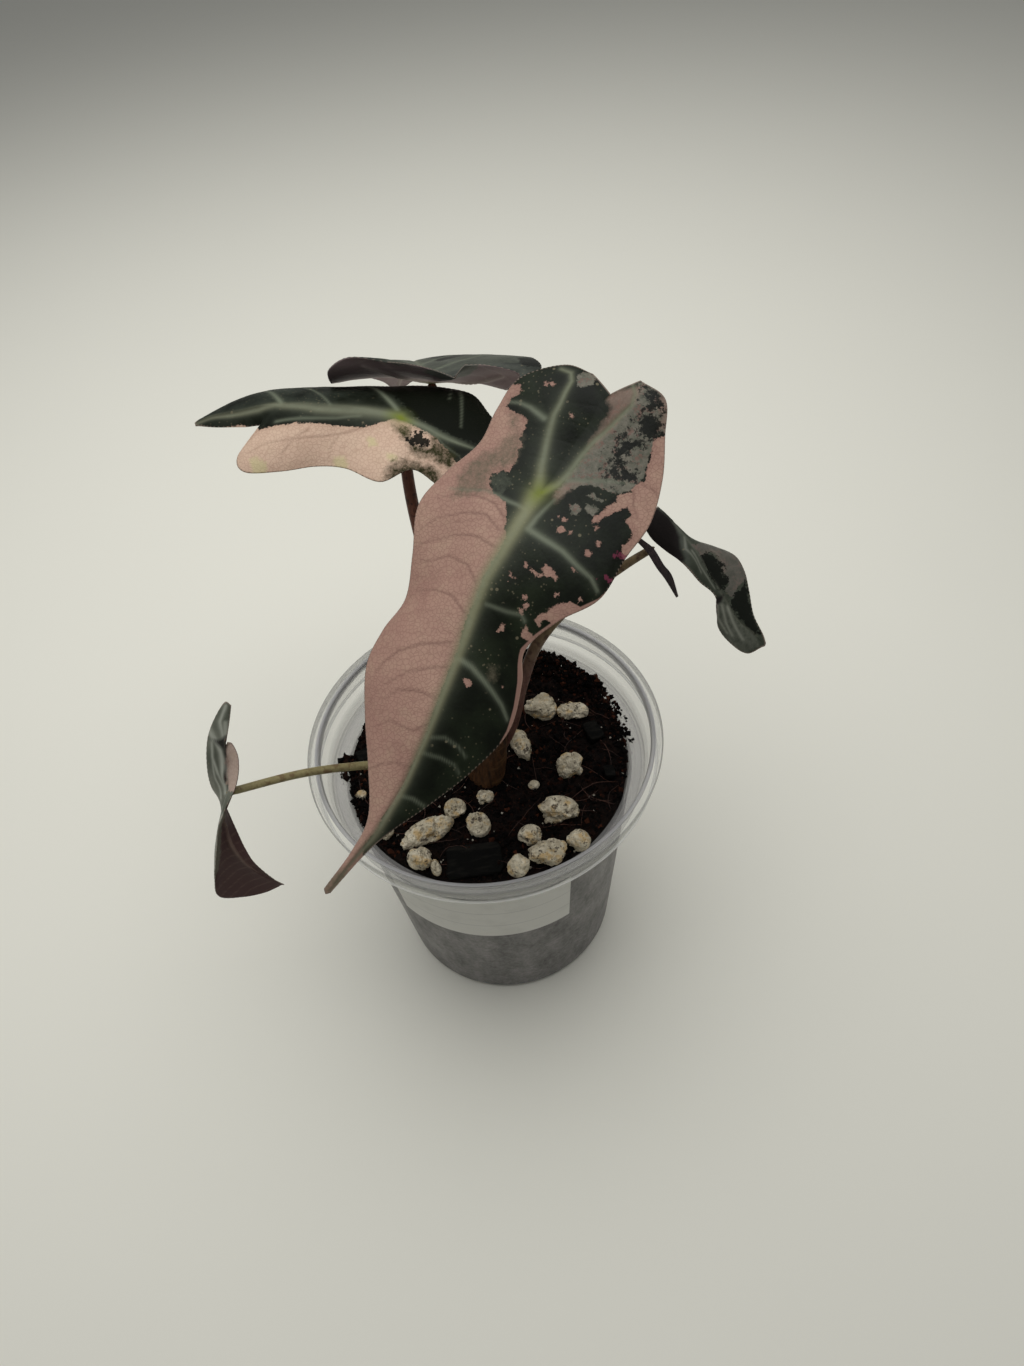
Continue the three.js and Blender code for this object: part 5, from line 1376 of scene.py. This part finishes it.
for number, row in enumerate(PUMICE, 1):
    size = np.array(row[2:5])
    sample = directions * size / 2 + number * 40
    lumps = STONE_LUMPS * rough_noise(sample, 3.6, number, 4)
    holes = STONE_HOLES * np.clip(rough_noise(sample, 1.7, number + 50, 2) - 0.15, 0, 1)
    reach = np.minimum(1, STONE_REACH * (chipped(directions, number) + lumps - holes))
    body = directions * reach[..., None] * size / 2
    make_lump(f"pumice_stone_{number:02d}", f"pumice_{number:02d}", pumice, row, body)
print("pumice stones:", len(PUMICE))

# %% Bark chips
SQUARENESS, CHIP_REACH, CHIP_LUMPS = 0.28, 0.97, 0.05
CHIPS = [  # the same form as the pumice
    (-9.3, -39.6, 19.6, 12.6, 2.6, -4, 0),
    (-42.5, 9, 6, 6, 5, 20, 0.3),
    (38, 4, 6, 9, 4, 15, 0.3),
    (40, -14, 4, 5, 3, 0, 0.3),
]
charred = Finish("charred_bark", Roughness=0.8, Specular_IOR_Level=0.05)
layers = charred.noise(3, 5, stretch=(0.5, 2.0, 2.0))
charred.feed(
    "Base Color", charred.mix(layers.step(0.6, 0.2), (0.004, 0.004, 0.0035), (0.012, 0.011, 0.009))
)
charred.bump(layers, 0.5)
directions = ball_grid(40, 80)
slab = np.sign(directions) * np.abs(directions) ** SQUARENESS
for number, row in enumerate(CHIPS, 1):
    size = np.array(row[2:5])
    relief = 1 - CHIP_LUMPS * (1 + rough_noise(slab * size + number * 30, 5.0, number + 70, 4))
    body = slab * relief[..., None] * size / 2 * CHIP_REACH
    make_lump(f"bark_chip_{number:02d}", f"bark_{number:02d}", charred, row, body)
print("bark chips:", len(CHIPS))

# %% [markdown]
# ## Pot
#
# The pot is one thin wall of clear plastic, turned from a profile whose corners are rounded, with
# eight holes cut through its floor. Clear plastic is shown by letting most light straight through
# and keeping more of it back where the wall is seen edge-on. Thin dark lines of painted shade run
# round the rim's outer edge, the lip and the shoulder, with a grey band of painted shade on the
# neck, and a white painted highlight runs along the skirt's lower edge. Below the shoulder the wall
# is frosted, and a grey film hides the soil behind it; that grey is partly a painted reflection of
# the lit floor.

# %% Pot
POT_PROFILE = [
    (0, 0), (38.4, 0), (40.2, 0.6), (41, 2.2), (49.5, 93), (53.9, 94.2), (57.1, 108.1),
    (59.1, 108.1), (57.3, 99.6), (58.2, 99.5), (60, 108.4), (59.6, 109), (56.4, 109),
    (56.1, 108.6), (53, 95.2), (48.6, 94), (40.1, 2.9), (38.9, 1.3), (0, 1.3),
]
POT_SIDES, CORNER_STEPS, CORNER_REACH = 192, 4, 0.5
CLOUDED_TO = 93.2  # the height up to which the grey film covers the wall


def rounded_profile(corners, reach):
    """Each corner becomes a short curve between points `reach` before and after it."""
    corners = np.array(corners, float)
    kept = [corners[:1]]
    t = np.linspace(0, 1, CORNER_STEPS)[:, None]
    for before, corner, after in zip(corners[:-2], corners[1:-1], corners[2:]):
        back, on = before - corner, after - corner
        a = corner + back * min(0.4, reach / np.linalg.norm(back))
        b = corner + on * min(0.4, reach / np.linalg.norm(on))
        kept.append((1 - t) ** 2 * a + 2 * t * (1 - t) * corner + t**2 * b)
    return np.concatenate([*kept, corners[-1:]])


profile = rounded_profile(POT_PROFILE, CORNER_REACH)
turn = around(POT_SIDES)
ring = np.stack([np.cos(turn), np.sin(turn), 0 * turn], -1)
wall = profile[1:-1, None, :1] * ring + profile[1:-1, None, 1:] * np.array([0, 0, 1])
points, faces = closed_tube(wall, [0, 0, profile[0, 1]], [0, 0, profile[-1, 1]])

plastic = Finish("clear_plastic", Roughness=0.22, Specular_IOR_Level=0.5)
height = plastic.height()
edge_on = plastic.node("ShaderNodeLayerWeight", {}, {"Blend": 0.35}, "Facing")
clouded = 1 - height.step(CLOUDED_TO, 0.8)
level_place = plastic.node(
    "ShaderNodeVectorMath", {"operation": "MULTIPLY"}, {0: plastic.place, 1: (1, 1, 0)}
)
reach = plastic.node("ShaderNodeVectorMath", {"operation": "LENGTH"}, {0: level_place}, "Value") * 1000


def band(wire, low, high, soft=0.3):
    """1 where a wire lies between two values."""
    return wire.step(low, soft) * (1 - wire.step(high, soft))


# Painted shade: thin dark lines at the rim's outer edge, inside the lip and round the shoulder, and a
# grey band on the neck, where the clear plastic is seen edge-on.
outer_edge_shade = reach.step(59.45, 0.25)
lip_shade = band(reach, 55.7, 57.4) * height.step(106.8, 0.6)
shoulder_shade = band(height, 93.3, 95.6, 0.5) * (1 - outer_edge_shade)
# Painted highlight: a white line along the skirt's lower edge.
skirt_highlight = band(height, 99.2, 100.2) * reach.step(57.0, 0.3)
neck_shade = band(height, 94.5, 99.5, 1.5) * (1 - reach.step(56.0, 0.5))
streaks = plastic.noise(9, 5, 0.65, stretch=(1, 1, 0.55))
flecks = plastic.noise(1.5, 4, 0.7)
# The grey film below the shoulder: frosted plastic over the soil, its grey partly a painted reflection of
# the lit floor.
frost_and_reflection = plastic.mix(
    (streaks * 0.5 + flecks * 0.5).step(0.5, 0.3), (0.10, 0.095, 0.092), (0.36, 0.345, 0.33)
)
# The clear wall's colour, with the painted dark lines and the painted white highlight over it.
clear = plastic.coats(
    (0.78, 0.78, 0.72),
    ((shoulder_shade + lip_shade).clip() * 0.8, (0.26, 0.255, 0.265)),
    (outer_edge_shade * 0.85, (0.22, 0.22, 0.20)),
    (neck_shade * 0.6, (0.34, 0.32, 0.33)),
    (skirt_highlight, (0.92, 0.92, 0.88)),
)
plastic.feed("Base Color", plastic.mix(clouded, clear, frost_and_reflection))
# The painted lines and highlight also let less light through.
lines = (outer_edge_shade * 0.45 + lip_shade * 0.65 + shoulder_shade * 0.22 + skirt_highlight * 0.5 + neck_shade * 0.16).clip()
clear_alpha = 0.05 + edge_on * 0.20 + lines
plastic.feed("Alpha", (clear_alpha + clouded * (0.34 + streaks * 0.30)).clip())
scuffs = plastic.noise(2.5, 4, stretch=(1, 1, 0.5))
plastic.feed("Roughness", 0.16 + scuffs * 0.12 + clouded * 0.25)

pot = mesh_object("nursery_pot", points * MM, faces, plastic)
DRAIN_HOLES, DRAIN_RADIUS, DRAIN_CIRCLE = 8, 1.8, 27
SHARP_FROM = 40  # degrees between two faces from which their edge stays sharp
DRILL_FROM, DRILL_TO = -1, 3  # heights that reach past both faces of the floor
holes = []
for where in around(DRAIN_HOLES):
    x, y = DRAIN_CIRCLE * math.cos(where), DRAIN_CIRCLE * math.sin(where)
    ends = [[x, y, DRILL_FROM], [x, y, DRILL_TO]]
    grid, _ = rod_grid(ends, [DRAIN_RADIUS] * 2, 24, 1)
    holes.append(closed_tube(grid, *ends))
points, faces = joined(holes)
drill = mesh_object("drill", points * MM, faces, plastic)
cut = pot.modifiers.new("drain holes", "BOOLEAN")
cut.operation, cut.object, cut.solver = "DIFFERENCE", drill, "EXACT"
solid_wall = pot.evaluated_get(bpy.context.evaluated_depsgraph_get())
holed = bpy.data.meshes.new_from_object(solid_wall)
pot.modifiers.clear()
pot.data = holed
bpy.data.objects.remove(drill)
holed.polygons.foreach_set("use_smooth", [True] * len(holed.polygons))
holed.set_sharp_from_angle(angle=math.radians(SHARP_FROM))
dress(pot, "pot")
print("pot faces:", len(holed.polygons))

# %% [markdown]
# ## Label
#
# A white paper strip is wrapped round the body close under the skirt. It is a curved sheet with a
# little thickness. It stays blank apart from two faint ruled lines.

# %% Label
LABEL_TOP, LABEL_HEIGHT, LABEL_FROM, LABEL_TO = 84, 29, -142, -65
LABEL_GAP, LABEL_THICKNESS, RULED, RULED_HALF = 0.3, 0.35, (64.0, 74.0), 0.22
(foot_radius, foot_height), (neck_radius, neck_height) = POT_PROFILE[3:5]
angle = np.radians(np.linspace(LABEL_FROM, LABEL_TO, 97))[:, None]
rise = np.linspace(LABEL_TOP - LABEL_HEIGHT, LABEL_TOP, 25)[None]
share = (rise - foot_height) / (neck_height - foot_height)
body_radius = foot_radius + share * (neck_radius - foot_radius)


def label_face(out):
    """The body's cone moved out by `out` millimetres."""
    r = body_radius + out
    return np.stack([r * np.cos(angle), r * np.sin(angle), rise + 0 * angle], -1)


outer, inner = label_face(LABEL_GAP + LABEL_THICKNESS), label_face(LABEL_GAP)
points = np.concatenate([outer.reshape(-1, 3), inner.reshape(-1, 3)])
paper = Finish("paper_label", Roughness=0.75)
height = paper.height()
ruled = sum(1 - abs(height - at).step(RULED_HALF, 0.1) for at in RULED).clip()
dust = paper.noise(7, 5)
sheet = paper.mix(dust.step(0.62, 0.3) * 0.35, (0.66, 0.65, 0.60), (0.45, 0.44, 0.40))
paper.feed("Base Color", paper.mix(ruled * 0.35, sheet, (0.30, 0.30, 0.29)))
paper.bump(paper.noise(0.6, 3), 0.05)
label = mesh_object("paper_label", points * MM, sheet_faces(*outer.shape[:2]), paper)
label.data.set_sharp_from_angle(angle=math.radians(SHARP_FROM))
dress(label, "label")
print("label:", len(points), "points")
